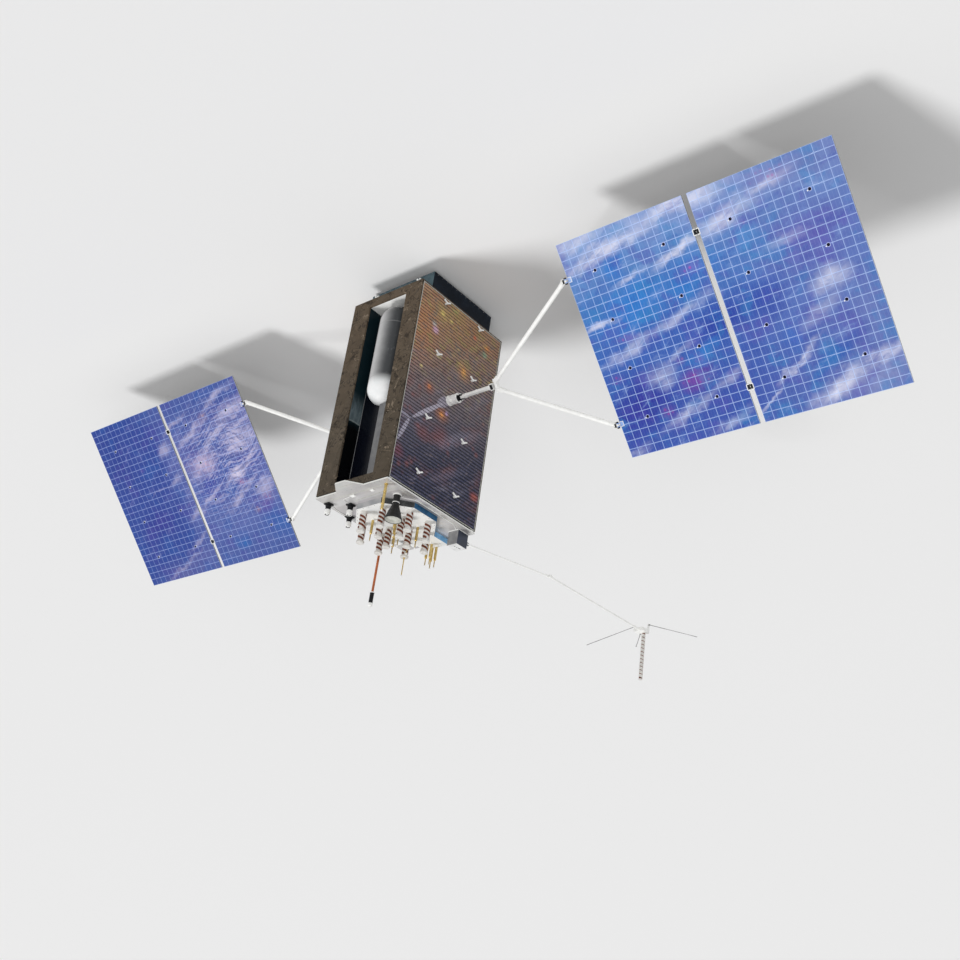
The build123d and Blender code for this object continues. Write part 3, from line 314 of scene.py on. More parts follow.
plus_x_glints = (((4.34, 0.79), (0.13, 0.09), (0.80, 0.64, 0.56)),
                 ((4.82, -1.18), (0.20, 0.12), (0.76, 0.62, 0.58)),
                 ((3.90, 0.60), (0.30, 0.16), (0.66, 0.52, 0.66)),
                 ((5.27, -0.34), (0.60, 0.34), (0.82, 0.66, 0.76)),
                 ((7.00, -0.60), (0.12, 0.09), (0.48, 0.34, 0.66)),
                 ((4.45, 0.20), (0.20, 0.12), (0.66, 0.44, 0.60)))


def painted_sky_reflection(finish, flat, side):
    """Painted reflection on the solar cells: drifting cloud over deep blue, laid out for one wing.

    A patch is its middle, half sizes, turn, share and colour. A streak has no colour, and a spark no turn
    or share. A level is a place across the wing and its colour.
    """
    out, across, _ = finish.parts(flat)
    bend_out = finish.noise(finish.lay(flat, (2, 6, 0)), 1.9, 4.0, 0.62) - 0.5
    bend_across = finish.noise(finish.lay(flat, (8, 1, 0)), 2.3, 4.0, 0.62) - 0.5
    moved = finish.point(out + bend_out * 0.55, across + bend_across * 0.40)
    if side < 0:
        levels, far, sky = minus_x_levels, minus_x_end, minus_x_sky
        cloud_places, glints, lean = minus_x_cloud, minus_x_glints, -0.36
        deep, pale, white = glass(0.26, 0.35, 0.67), glass(0.42, 0.58, 0.82), glass(0.86, 0.87, 0.95)
        teal, violet = glass(0.25, 0.55, 0.78), glass(0.38, 0.34, 0.68)
    else:
        levels, far, sky = plus_x_levels, plus_x_end, plus_x_sky
        cloud_places, glints, lean = plus_x_cloud, plus_x_glints, 0.40
        deep, pale, white = glass(0.20, 0.28, 0.58), glass(0.47, 0.49, 0.73), glass(0.84, 0.81, 0.90)
        teal, violet = glass(0.22, 0.38, 0.66), glass(0.32, 0.30, 0.61)
    broad = streaks(finish, flat, lean, 2.6, 1.9)
    fine = streaks(finish, flat, lean, 3.4, 5.2, 0.72)
    level = across + (broad - 0.5) * 0.9
    tone = glass(*levels[0][1])
    for (low, _), (high, shade) in zip(levels, levels[1:]):
        tone = finish.blend(finish.between(level, low, high), tone, glass(*shade))
    tone = finish.blend(finish.between(out + (broad - 0.5) * 0.8, far[0], far[1]) * far[2], tone,
                        glass(*far[3]))
    for middle, size, turn, share, shade in sky:
        tone = finish.blend(finish.spot(moved, middle, size, turn) * share, tone, glass(*shade))
    tint = finish.noise(finish.lay(flat, (5, 3, 0)), 1.8, 4.0, 0.62)
    tone = finish.blend(finish.between(tint, 0.52, 0.66) * 0.42, tone, teal)
    tone = finish.blend(finish.between(tint, 0.48, 0.34) * 0.42, tone, violet)
    tone = finish.blend(finish.between(fine, 0.47, 0.30) * 0.42, tone, deep)
    tone = finish.blend(finish.between(fine, 0.53, 0.72) * 0.40, tone, pale)
    ragged = finish.between(fine, 0.28, 0.58, 0.16, 1.0)
    bright = finish.between(fine, 0.58, 0.80) * (0.30 if side < 0 else 0.12)
    for middle, size, turn, share in cloud_places:
        bright = bright.larger(finish.spot(moved, middle, size, turn) * ragged * share)
    tone = finish.blend(bright, tone, white)
    # On +X, embossed ridges in the mirrored ground, pale on one edge and dark on the other: part of the
    # painted reflection.
    if side > 0:
        ground = finish.spot(flat, (4.5, -0.40), (2.3, 1.6), 0.35)
        ridges = streaks(finish, finish.lay(flat, (0.012, 0.030, 0)), lean, 3.4, 5.2, 0.72) - fine
        tone = finish.blend(finish.between(ridges, 0.008, 0.05) * ground * 0.55, tone, white)
        tone = finish.blend(finish.between(ridges, -0.008, -0.05) * ground * 0.60, tone,
                            glass(0.24, 0.28, 0.52))
    # Painted glints in pink and violet, broken into flecks.
    fleck = finish.cells(flat, 13.0)
    for middle, size, shade in glints:
        near = finish.spot(flat, middle, size)
        tone = finish.blend(near * finish.between(fleck, 0.40, 0.08, 0.25, 1.0) * 0.85, tone, glass(*shade))
    return tone


def cell_finish(side, name):
    """Glass-covered solar cells: thin collector lines over a painted reflection of sky and cloud."""
    finish = Finish(name, 0.28, 0.0, coat_roughness=0.08, IOR=1.25)
    out, across, _ = wing_place(finish)
    flat = finish.point(out, across)
    # Painted reflection of sky and cloud under the collector lines.
    tone = painted_sky_reflection(finish, flat, side)
    column = (out * (3 / cell_wide)).fraction()
    collector = finish.between(abs(column - 0.5), 0.44, 0.5) * 0.10
    shade = finish.cells(finish.lay(flat, size=(cell_wide, cell_tall, 1)), 1.0, output="Color")
    shade = finish.node("ShaderNodeSeparateColor", None, {0: shade})
    tone = finish.blend(finish.between(shade, 0.0, 1.0, 0.0, 0.14), tone, paint(0.15, 0.2, 0.5))
    finish.colour(finish.blend(collector, tone, paint(0.85, 0.9, 1.0)))
    finish.link(finish.noise(flat, 3.0, 4.0) * 0.2 + 0.18, "Roughness")
    finish.shader.inputs["Coat Weight"].default_value = 0.06
    return finish.material


def panel_finish(side, name):
    """A solar panel's board: pale lines under the cells, partly carrying the painted sky reflection, edges
    of core, a black woven back.
    """
    finish = Finish(name, 0.5)
    out, across, rise = wing_place(finish)
    flat = finish.point(out, across)
    weave = finish.node("ShaderNodeTexWave", {"bands_direction": "DIAGONAL"},
                        {"Vector": flat, "Scale": 60.0})
    cross = finish.node("ShaderNodeTexWave", None, {"Vector": finish.lay(flat, turn=2.36), "Scale": 60.0})
    cloth = finish.blend(weave * cross, paint(0.13, 0.13, 0.14), paint(0.22, 0.22, 0.24))
    patches = finish.noise(flat, 1.4, 4.0)
    cloth = finish.blend(finish.between(patches, 0.4, 0.7) * 0.3, cloth, paint(0.25, 0.24, 0.22))
    pale = paint(0.70, 0.80, 0.98) if side < 0 else paint(0.63, 0.71, 0.93)
    # The pale lines carry some of the painted sky reflection.
    line = finish.blend(0.45, pale, painted_sky_reflection(finish, flat, side))
    edge = finish.blend(finish.between(finish.noise(flat, 30.0), 0.4, 0.6), paint(0.62, 0.62, 0.6),
                        paint(0.5, 0.5, 0.5))
    front = finish.between(rise, 0.0105, 0.0115)
    back = finish.between(rise, -0.0105, -0.0115)
    finish.colour(finish.blend(back, finish.blend(front, edge, line), cloth))
    finish.relief(weave * cross * back, 0.0005)
    return finish.material


# Painted reflection on the side radiators, by Y and Z: soft patches, sparks, and images of the drive, the
# boom and both arms
radiator_patches = (((-0.85, 1.3), (0.50, 0.9), 0.0, 0.55, (0.76, 0.50, 0.32)),
                    ((0.1, 0.75), (0.9, 0.45), -0.3, 0.40, (0.70, 0.54, 0.36)),
                    ((-0.45, 0.75), (0.34, 0.28), 0.0, 0.60, (0.74, 0.64, 0.42)),
                    ((-0.10, 0.60), (0.24, 0.2), 0.0, 0.5, (0.74, 0.64, 0.40)),
                    ((0.22, 1.53), (0.24, 0.28), 0.0, 0.80, (0.78, 0.56, 0.36)),
                    ((-0.13, 2.54), (0.24, 0.20), 0.0, 0.80, (0.72, 0.44, 0.26)),
                    ((-0.50, 2.23), (0.20, 0.18), 0.0, 0.60, (0.68, 0.40, 0.28)),
                    ((-0.47, 3.06), (0.26, 0.22), 0.0, 0.55, (0.58, 0.30, 0.26)),
                    ((-0.07, 2.93), (0.30, 0.30), 0.0, 0.55, (0.56, 0.28, 0.24)),
                    ((0.90, 3.56), (0.16, 0.12), 0.0, 0.80, (0.74, 0.34, 0.24)),
                    ((-0.93, 3.63), (0.20, 0.18), 0.0, 0.60, (0.54, 0.22, 0.26)),
                    ((0.70, 0.79), (0.24, 0.20), 0.0, 0.55, (0.74, 0.50, 0.34)),
                    ((0.35, 2.75), (0.9, 0.16), -0.60, 0.45, (0.60, 0.58, 0.66)),
                    ((0.20, 3.50), (0.9, 0.13), -0.62, 0.40, (0.44, 0.44, 0.54)))
radiator_painted_sparks = (((-0.57, 1.16), (0.11, 0.11), (0.86, 0.70, 0.84)),
                   ((-0.13, 2.55), (0.08, 0.07), (0.98, 0.66, 0.34)),
                   ((-0.02, 2.47), (0.06, 0.06), (0.78, 0.66, 0.84)),
                   ((-0.40, 1.56), (0.10, 0.08), (0.76, 0.74, 0.58)),
                   ((0.22, 1.53), (0.09, 0.11), (0.92, 0.68, 0.38)),
                   ((-0.47, 0.77), (0.09, 0.08), (0.92, 0.84, 0.50)),
                   ((-0.24, 0.80), (0.07, 0.06), (0.88, 0.80, 0.50)),
                   ((-0.62, 1.07), (0.08, 0.06), (0.76, 0.76, 0.76)),
                   ((0.36, 0.76), (0.07, 0.06), (0.86, 0.44, 0.30)),
                   ((0.69, 0.78), (0.08, 0.06), (0.90, 0.60, 0.36)),
                   ((0.66, 0.93), (0.10, 0.09), (0.52, 0.66, 0.56)),
                   ((-0.50, 2.22), (0.07, 0.06), (0.92, 0.56, 0.34)),
                   ((-0.75, 1.97), (0.06, 0.06), (0.86, 0.78, 0.54)),
                   ((-0.18, 0.56), (0.09, 0.05), (0.64, 0.66, 0.42)))
radiator_painted_images = (((-0.13, 2.31), (0.20, 0.105), -0.76, 0.95, (0.62, 0.60, 0.66)),
                   ((-0.44, 2.63), (0.50, 0.048), -0.76, 0.90, (0.74, 0.72, 0.78)),
                   ((-0.89, 3.20), (0.30, 0.044), -1.21, 0.85, (0.72, 0.70, 0.76)),
                   ((-0.93, 2.96), (0.14, 0.042), 0.07, 0.75, (0.64, 0.62, 0.68)))


def mirror_finish(name, side):
    """The side radiators: mirror strips with a painted reflection of a dusk in bronze, violet and navy, with
    painted sparks.

    Patches and images are a middle, half sizes, a turn, a share and a colour. Sparks have no turn or share.
    """
    finish = Finish(name, 0.26, 0.0, IOR=1.35)
    flat = finish.point(finish.y * (1 if side < 0 else -1), finish.z)
    y, z, _ = finish.parts(flat)
    haze = streaks(finish, flat, radians(-38), 3.4, 2.8, 0.68)
    fine = streaks(finish, finish.lay(flat, (3, 7, 0)), radians(-34), 3.0, 8.0, 0.75)
    rise = finish.between(z + y * 0.45 + (haze - 0.5) * 1.1, 0.2, 4.3)
    tone = finish.blend(finish.between(rise, 0.02, 0.40), paint(0.66, 0.52, 0.42), paint(0.47, 0.42, 0.44))
    tone = finish.blend(finish.between(rise, 0.38, 0.72), tone, paint(0.33, 0.32, 0.38))
    tone = finish.blend(finish.between(rise, 0.64, 0.94), tone, paint(0.12, 0.14, 0.25))
    tone = finish.blend(finish.between(haze, 0.54, 0.70) * 0.55, tone, paint(0.56, 0.54, 0.62))
    tone = finish.blend(finish.between(haze, 0.46, 0.32) * 0.60, tone, paint(0.20, 0.18, 0.24))
    tone = finish.blend(finish.between(fine, 0.54, 0.72) * 0.42, tone, paint(0.70, 0.62, 0.62))
    tone = finish.blend(finish.between(fine, 0.46, 0.28) * 0.50, tone, paint(0.15, 0.14, 0.19))
    warm = finish.noise(finish.lay(flat, (1, 2, 0), (1.6, 0.9, 1), radians(-38)), 2.4, 4.0, 0.6)
    tone = finish.blend(finish.between(warm, 0.50, 0.70) * 0.42, tone, paint(0.54, 0.30, 0.24))
    # Painted reflection: soft patches of dusk colour.
    for middle, size, turn, share, shade in radiator_patches:
        tone = finish.blend(finish.spot(flat, middle, size, turn) * share, tone, paint(*shade))
    grain = finish.noise(finish.lay(flat, (1, 8, 0)), 24.0, 3.0, 0.75)
    tone = finish.blend(finish.between(grain, 0.52, 0.74) * 0.42, tone, paint(0.66, 0.62, 0.62))
    tone = finish.blend(finish.between(grain, 0.48, 0.26) * 0.42, tone, paint(0.13, 0.12, 0.14))
    hue = finish.noise(finish.lay(flat, (6, 2, 0)), 5.5, 3.0, 0.7)
    aft_part = finish.between(z, 2.8, 1.2)
    tone = finish.blend(finish.between(hue, 0.51, 0.62) * aft_part * 0.50, tone, paint(0.60, 0.58, 0.38))
    tone = finish.blend(finish.between(hue, 0.47, 0.37) * aft_part * 0.45, tone, paint(0.38, 0.45, 0.45))
    sparks = finish.cells(finish.lay(flat, (5, 1, 0)), 5.2)
    lively = finish.between(finish.noise(finish.lay(flat, (9, 4, 0)), 1.8, 2.0), 0.46, 0.56)
    low_spark = finish.blend(finish.between(z, 1.0, 2.6), paint(0.84, 0.76, 0.46), paint(0.64, 0.34, 0.28))
    tone = finish.blend(finish.between(sparks, 0.38, 0.02) * lively * 0.45, tone, low_spark)
    # Painted sparks: glints on the mirror strips.
    for middle, size, shade in radiator_painted_sparks:
        tone = finish.blend(finish.spot(flat, middle, size) * 0.95, tone, paint(*shade))
    # Painted reflections of the drive, the boom and the arms, as pale streaks.
    for middle, size, turn, share, shade in radiator_painted_images:
        tone = finish.blend(finish.spot(flat, middle, size, turn, 0.30) * share, tone, paint(*shade))
    column = abs((y * 26.0).fraction() - 0.5)
    tone = finish.blend(finish.between(column, 0.38, 0.48) * 0.40, tone, paint(0.10, 0.10, 0.13))
    over_strip = abs(((z - (side_low + 0.012)) / strip_pitch).fraction() - 0.5)
    # A painted highlight along the middle of each strip, warm low down and cool higher up.
    painted_crest_highlight = finish.blend(finish.between(z, 1.0, 3.2), paint(0.94, 0.70, 0.46), paint(0.50, 0.50, 0.66))
    tone = finish.blend(finish.between(over_strip, 0.20, 0.02) * 0.20, tone, painted_crest_highlight)
    groove = finish.between(over_strip, 0.26, 0.46) * finish.between(z, 0.6, 2.4, 0.22, 0.42)
    tone = finish.blend(groove, tone, paint(0.07, 0.07, 0.10))
    finish.colour(tone)
    finish.link(finish.between(fine, 0.3, 0.7, 0.20, 0.34), "Roughness")
    finish.relief(finish.noise(flat, 5.0, 2.0), 0.004, 0.4)
    return finish.material


def blanket_finish(name, near, far, low, high):
    """Crumpled thermal blanket: matt olive-brown film over shallow plates, with painted shade in dark veins
    and along the creases between plates, and painted highlights on pale crests.
    """
    finish = Finish(name, 0.6, 0.0, IOR=1.2)
    bent = finish.noise(finish.place, 2.6, 3.0, 0.6)
    other = finish.noise(finish.lay(finish.place, (4, 9, 2)), 3.4, 3.0, 0.6)
    moved = finish.node("ShaderNodeVectorMath", {"operation": "ADD"},
                        {0: finish.place, 1: finish.point(bent * 0.6, other * 0.6, other * 0.5)})
    facets = finish.cells(moved, 4.6, "DISTANCE_TO_EDGE")
    small = finish.cells(moved, 13.0, "DISTANCE_TO_EDGE")
    plates = finish.parts(finish.cells(moved, 4.6, output="Color"))[0]
    cloud = finish.noise(finish.place, 3.2, 5.0, 0.7)
    curl = finish.noise(moved, 5.5, 2.0, 0.4, 1.2)
    tone = finish.blend(finish.between(finish.z, low, high), near, far)
    tone = finish.blend(finish.between(plates, 0.50, 0.05) * 0.22, tone, paint(0.26, 0.23, 0.19))
    tone = finish.blend(finish.between(plates, 0.60, 1.0) * 0.20, tone, paint(0.44, 0.39, 0.33))
    tone = finish.blend(finish.between(cloud, 0.48, 0.30) * 0.35, tone, paint(0.25, 0.22, 0.18))
    tone = finish.blend(finish.between(cloud, 0.54, 0.74) * 0.30, tone, paint(0.45, 0.40, 0.34))
    # Painted shade: dark veins, and dark lines along the creases between the plates.
    veined = finish.between(finish.noise(finish.place, 3.6), 0.44, 0.56)
    crease_shade = finish.between(abs(curl - 0.5), 0.045, 0.012) * veined
    seamed = finish.between(finish.noise(finish.place, 4.0), 0.48, 0.60)
    seam = finish.between(facets, 0.050, 0.01) * seamed
    tone = finish.blend(crease_shade.larger(seam) * 0.75, tone, paint(0.13, 0.11, 0.09))
    # Painted highlight: pale crests beside the veins.
    crested = finish.between(finish.noise(finish.place, 4.6), 0.52, 0.64)
    painted_crest_highlight = finish.between(abs(curl - 0.585), 0.030, 0.008) * crested
    finish.colour(finish.blend(painted_crest_highlight * 0.75, tone, paint(0.57, 0.51, 0.44)))
    crumple = finish.between(facets, 0.0, 0.30) * 0.7 + finish.between(small, 0.0, 0.3) * 0.3
    finish.link(finish.between(cloud, 0.3, 0.7, 0.66, 0.50), "Roughness")
    finish.relief(crumple, 0.005, 0.7)
    return finish.material


def brushed(name, light, dark, roughness):
    """Bare metal with fine tool marks round Z."""
    finish = Finish(name, roughness, 0.9)
    marks = finish.noise(finish.lay(finish.place, size=(1, 1, 0.012)), 4.0, 4.0, 0.65)
    worn = finish.noise(finish.place, 7.0, 4.0, 0.6)
    finish.colour(finish.blend(finish.between(marks * 0.5 + worn * 0.5, 0.35, 0.65), dark, light))
    finish.link(finish.between(worn, 0.3, 0.7, roughness - 0.08, roughness + 0.12), "Roughness")
    finish.relief(marks, 0.0004)
    return finish.material


def bell_finish():
    """The engine's bell: heat tints in rings from straw to blue-grey."""
    finish = Finish("engine_alloy_heat_tint", 0.32, 0.9)
    rings = finish.noise(finish.lay(finish.place, size=(4, 4, 0.05)), 3.0, 3.0)
    way = finish.between(finish.z + rings * 0.03, 0.07, 0.34)
    tone = finish.blend(finish.between(way, 0.0, 0.5), paint(0.33, 0.33, 0.38), paint(0.55, 0.45, 0.36))
    tone = finish.blend(finish.between(way, 0.5, 0.9), tone, paint(0.42, 0.42, 0.50))
    finish.colour(tone)
    finish.relief(rings, 0.001)
    return finish.material


def deck_finish():
    """Silvery creased deck film: faint rainbow drift, a paler band near the front, a white edge with painted
    shadow on the recessed strip below it.
    """
    finish = Finish("deck_film", 0.34, 0.25)
    drift = finish.noise(finish.place, 1.6, 4.0, 0.6, 0.4)
    tint = finish.noise(finish.lay(finish.place, turn=0.6), 1.1, 3.0)
    tone = finish.blend(finish.between(drift, 0.35, 0.7), paint(0.70, 0.69, 0.69), paint(0.79, 0.78, 0.77))
    tone = finish.blend(finish.between(tint, 0.52, 0.72) * 0.35, tone, paint(0.72, 0.66, 0.76))
    tone = finish.blend(finish.between(tint, 0.46, 0.30) * 0.30, tone, paint(0.64, 0.72, 0.70))
    band = finish.between(finish.y, -0.86, -0.80) * finish.between(finish.y, -0.66, -0.70)
    tone = finish.blend(band * 0.4, tone, paint(0.86, 0.86, 0.86))
    # Painted shadow: the recessed strip under the deck plate's white edge is dark.
    rim = finish.between(finish.z, deck_top - 0.03, deck_top - 0.022)
    edge = finish.blend(rim, paint(0.22, 0.22, 0.23), paint(0.90, 0.90, 0.88))
    finish.colour(finish.blend(finish.between(finish.z, deck_top - 0.002, deck_top - 0.001), edge, tone))
    crease = finish.cells(finish.lay(finish.place, size=(0.5, 0.9, 1), turn=0.5), 1.6, "DISTANCE_TO_EDGE")
    fine = finish.noise(finish.place, 24.0, 4.0, 0.65)
    finish.relief(finish.between(crease, 0.0, 0.05) + fine * 0.25, 0.003, 0.7)
    return finish.material


def platform_finish():
    """The antenna platform: white paint on top, a greyer rim under the film strips."""
    finish = Finish("platform_paint", 0.4)
    grain = finish.noise(finish.place, 40.0, 4.0, 0.6)
    cloud = finish.noise(finish.place, 2.5, 3.0)
    top = finish.blend(finish.between(cloud, 0.4, 0.7), paint(0.93, 0.93, 0.92), paint(0.88, 0.89, 0.89))
    side = finish.blend(finish.between(cloud, 0.4, 0.6), paint(0.62, 0.63, 0.64), paint(0.72, 0.72, 0.72))
    on_top = finish.between(finish.z, platform_top - 0.0015, platform_top - 0.0005)
    finish.colour(finish.blend(on_top, side, top))
    finish.link(finish.between(grain, 0.3, 0.7, 0.34, 0.48), "Roughness")
    finish.relief(grain, 0.0005)
    return finish.material


def film_finish(name, dark, light):
    """A pleated strip of coloured film."""
    finish = Finish(name, 0.25, 0.3)
    drift = finish.noise(finish.place, 9.0, 3.0)
    finish.colour(finish.blend(finish.between(drift, 0.3, 0.7), dark, light))
    finish.relief(finish.noise(finish.place, 30.0), 0.001)
    return finish.material


def wall_finish(name, low, high, painted_light=None):
    """The bay's lining: smooth dark lacquer that mirrors the tank a little; with a light colour given, it
    adds a patch of painted light and a painted highlight along the patch's upper edge.
    """
    finish = Finish(name, 0.2, 0.0, IOR=1.22)
    cloud = finish.noise(finish.place, 3.0, 4.0, 0.6)
    tone = finish.blend(finish.between(finish.z + (cloud - 0.5) * 0.3, 2.7, 2.95), low, high)
    if painted_light is not None:
        # Painted light: a pale, streaky patch up to about z 2.84, with a painted highlight along its upper
        # edge.
        curve = (finish.noise(finish.place, 4.0, 2.0) - 0.5) * 0.16 + finish.y * 0.03 + 0.10
        level = finish.z + curve
        lit = finish.between(level + (cloud - 0.5) * 0.1, 2.28, 2.70) * finish.between(level, 2.86, 2.82)
        rim = finish.between(abs(level - 2.84), 0.022, 0.004)
        streak = finish.noise(finish.lay(finish.place, size=(1, 0.6, 2.5)), 14.0, 4.0, 0.7)
        tone = finish.blend(lit * finish.between(streak, 0.3, 0.7, 0.45, 1.0), tone, painted_light)
        tone = finish.blend(rim * finish.between(streak, 0.35, 0.65, 0.15, 0.6), tone,
                            paint(0.62, 0.66, 0.66))
    finish.colour(tone)
    finish.link(finish.between(cloud, 0.3, 0.7, 0.16, 0.28), "Roughness")
    finish.relief(finish.noise(finish.place, 6.0, 3.0), 0.0015)
    return finish.material


def tank_finish():
    """Tank under satin film with painted shade darkening it towards -X, white dome at the deck end, two
    faint seams.
    """
    finish = Finish("tank_wrap", 0.5)
    cloud = finish.noise(finish.place, 4.0, 4.0, 0.6)
    pucker = finish.noise(finish.lay(finish.place, size=(0.5, 0.5, 2.0)), 16.0, 4.0, 0.6)
    # Painted shade: the body darkens towards its -X side.
    painted_shade_way = finish.between(finish.x + (cloud - 0.5) * 0.06, 0.10, -0.22)
    body = finish.blend(painted_shade_way, paint(0.77, 0.77, 0.77), paint(0.20, 0.21, 0.22))
    dome = finish.blend(finish.between(cloud, 0.3, 0.7), paint(0.98, 0.98, 0.98), paint(0.93, 0.94, 0.94))
    tone = finish.blend(finish.between(finish.z, 2.02, 2.24), body, dome)
    tone = finish.blend(finish.between(pucker, 0.6, 0.8) * 0.25, tone, paint(0.64, 0.65, 0.66))
    low_seam, high_seam = (finish.between(abs(finish.z - level), 0.010, 0.007) for level in (1.02, 2.08))
    seam = low_seam + high_seam
    finish.colour(finish.blend(seam * 0.35, tone, paint(0.60, 0.60, 0.60)))
    finish.relief(pucker * 0.6 + cloud * 0.4 + seam * 0.3, 0.0025, 0.6)
    return finish.material


def skirt_finish():
    """The aft skirt: near-black film on its sides, a paler blue-grey film on its front and back."""
    finish = Finish("dark_skirt_skin", 0.45, 0.0, IOR=1.25)
    cloud = finish.noise(finish.place, 5.0, 4.0, 0.65)
    fine = finish.noise(finish.place, 22.0, 3.0, 0.6)
    dark = finish.blend(finish.between(cloud, 0.35, 0.68), paint(0.03, 0.06, 0.10), paint(0.06, 0.10, 0.15))
    pale = finish.blend(finish.between(cloud, 0.35, 0.68), paint(0.27, 0.35, 0.38), paint(0.35, 0.43, 0.46))
    front = finish.between(abs(finish.y), 0.7485, 0.7495)
    finish.colour(finish.blend(front, dark, pale))
    finish.link(finish.between(fine, 0.3, 0.7, 0.38, 0.54), "Roughness")
    finish.relief(cloud * 0.6 + fine * 0.4, 0.004, 0.7)
    return finish.material


def box_finish():
    """The mast's box: white top, grey sides, and painted shade in near-navy on its -X side."""
    finish = Finish("mast_box_paint", 0.42)
    cloud = finish.noise(finish.place, 9.0, 4.0, 0.6)
    grey = finish.blend(finish.between(cloud, 0.35, 0.68), paint(0.62, 0.62, 0.62), paint(0.52, 0.52, 0.53))
    white = finish.blend(finish.between(cloud, 0.35, 0.68), paint(0.90, 0.90, 0.90),
                         paint(0.82, 0.82, 0.82))
    painted_shade_navy = finish.blend(finish.between(cloud, 0.35, 0.68), paint(0.12, 0.15, 0.22), paint(0.17, 0.20, 0.28))
    tone = finish.blend(finish.between(finish.z, deck_top + 0.2485, deck_top + 0.2495), grey, white)
    # Painted shade: the -X side is near-navy.
    finish.colour(finish.blend(finish.between(finish.x, -0.6535, -0.6545), tone, painted_shade_navy))
    finish.link(finish.between(cloud, 0.3, 0.7, 0.36, 0.50), "Roughness")
    finish.relief(cloud, 0.0004)
    return finish.material


cells_paint = {side: cell_finish(side, f"solar_cells_{name}") for side, name in sides}
boards = {side: panel_finish(side, f"panel_board_{name}") for side, name in sides}
mirrors = {side: mirror_finish(f"mirror_strips_{name}", side) for side, name in sides}
blanket = blanket_finish("brown_blanket_foil", paint(0.355, 0.305, 0.250), paint(0.320, 0.285, 0.240), 0.6,
                         3.6)
aft_blanket = blanket_finish("aft_blanket_foil", paint(0.35, 0.30, 0.25), paint(0.35, 0.30, 0.25), 0.3, 0.5)
skirt_skin = skirt_finish()
ring_metal = brushed("turned_ring_metal", paint(0.78, 0.78, 0.77), paint(0.60, 0.60, 0.60), 0.34)
bell_metal = bell_finish()
deck_film = deck_finish()
platform_paint = platform_finish()
white_tubes = tube_paint("white_tube_paint", paint(0.97, 0.97, 0.96), paint(0.93, 0.93, 0.92))
white_metal = mottled("white_fitting_paint", paint(0.97, 0.97, 0.96), paint(0.93, 0.93, 0.92), 14.0, 0.4)
drive_paint = mottled("drive_housing_paint", paint(0.98, 0.98, 0.97), paint(0.94, 0.94, 0.93), 10.0, 0.38)
black_metal = mottled("black_anodised_metal", paint(0.035, 0.037, 0.045), paint(0.08, 0.085, 0.10), 16.0,
                      0.42, 0.0, 0.0003, IOR=1.3)
cup_dark = mottled("hold_down_cup_dark", paint(0.03, 0.03, 0.09), paint(0.06, 0.06, 0.14), 30.0, 0.6, 0.0,
                   0.0003, IOR=1.2)
# Painted highlight: the raised rims round the cups are pale blue-white all round.
cup_rim_highlight = mottled("hold_down_rim_painted_highlight", paint(0.74, 0.78, 0.96), paint(0.62, 0.66, 0.86), 30.0, 0.5)
steel = brushed("fastener_steel", paint(0.72, 0.72, 0.72), paint(0.5, 0.5, 0.5), 0.35)
# The side walls' third colour is painted light.
side_wall = wall_finish("bay_wall_lacquer", paint(0.06, 0.12, 0.14), paint(0.022, 0.026, 0.034),
                        paint(0.42, 0.47, 0.49))
back_wall = wall_finish("bay_back_lacquer", paint(0.045, 0.055, 0.085), paint(0.04, 0.05, 0.085))
end_light = mottled("bay_end_paint", paint(0.97, 0.97, 0.96), paint(0.91, 0.91, 0.90), 6.0, 0.5, 0.0,
                    0.0004)
duct_paint = mottled("duct_paint", paint(0.50, 0.50, 0.50), paint(0.43, 0.43, 0.44), 7.0, 0.45, 0.1, 0.0004)
rib_paint = mottled("panel_rib_paint", paint(0.40, 0.40, 0.41), paint(0.33, 0.33, 0.34), 7.0, 0.45, 0.1,
                    0.0004)
tank_wrap = tank_finish()
helix_white = mottled("antenna_tube_white", paint(0.90, 0.89, 0.87), paint(0.80, 0.79, 0.77), 20.0, 0.45)
helix_brown = mottled("antenna_winding_copper", paint(0.50, 0.27, 0.17), paint(0.34, 0.16, 0.10), 30.0,
                      0.45, 0.1, IOR=1.3)
gold = brushed("gold_rod_plating", paint(0.90, 0.80, 0.53), paint(0.70, 0.59, 0.35), 0.30)
copper = brushed("copper_rod_plating", paint(0.80, 0.48, 0.32), paint(0.60, 0.34, 0.22), 0.3)
cone_dark = mottled("horn_cone_paint", paint(0.19, 0.19, 0.19), paint(0.11, 0.11, 0.11), 12.0, 0.4, 0.1,
                    0.0005, IOR=1.3)
pale_trim = mottled("pale_trim_paint", paint(0.80, 0.80, 0.77), paint(0.70, 0.70, 0.67), 15.0, 0.5, 0.0,
                    0.0005)
box_paint = box_finish()
# The platform's blue and paler blue films are painted reflection.
blue_painted_reflection_film = film_finish("platform_blue_painted_reflection_film", paint(0.10, 0.31, 0.46), paint(0.17, 0.41, 0.58))
pale_blue_painted_reflection_film = film_finish("platform_pale_blue_painted_reflection_film", paint(0.46, 0.70, 0.88), paint(0.58, 0.80, 0.96))
dark_film = film_finish("platform_dark_film", paint(0.20, 0.21, 0.21), paint(0.30, 0.31, 0.31))
stud_paint = mottled("blanket_stud_paint", paint(0.42, 0.37, 0.30), paint(0.33, 0.28, 0.22), 20.0, 0.5)
tape = mottled("amber_film_tape", paint(0.56, 0.40, 0.20), paint(0.42, 0.29, 0.15), 20.0, 0.3, 0.3, 0.0005)

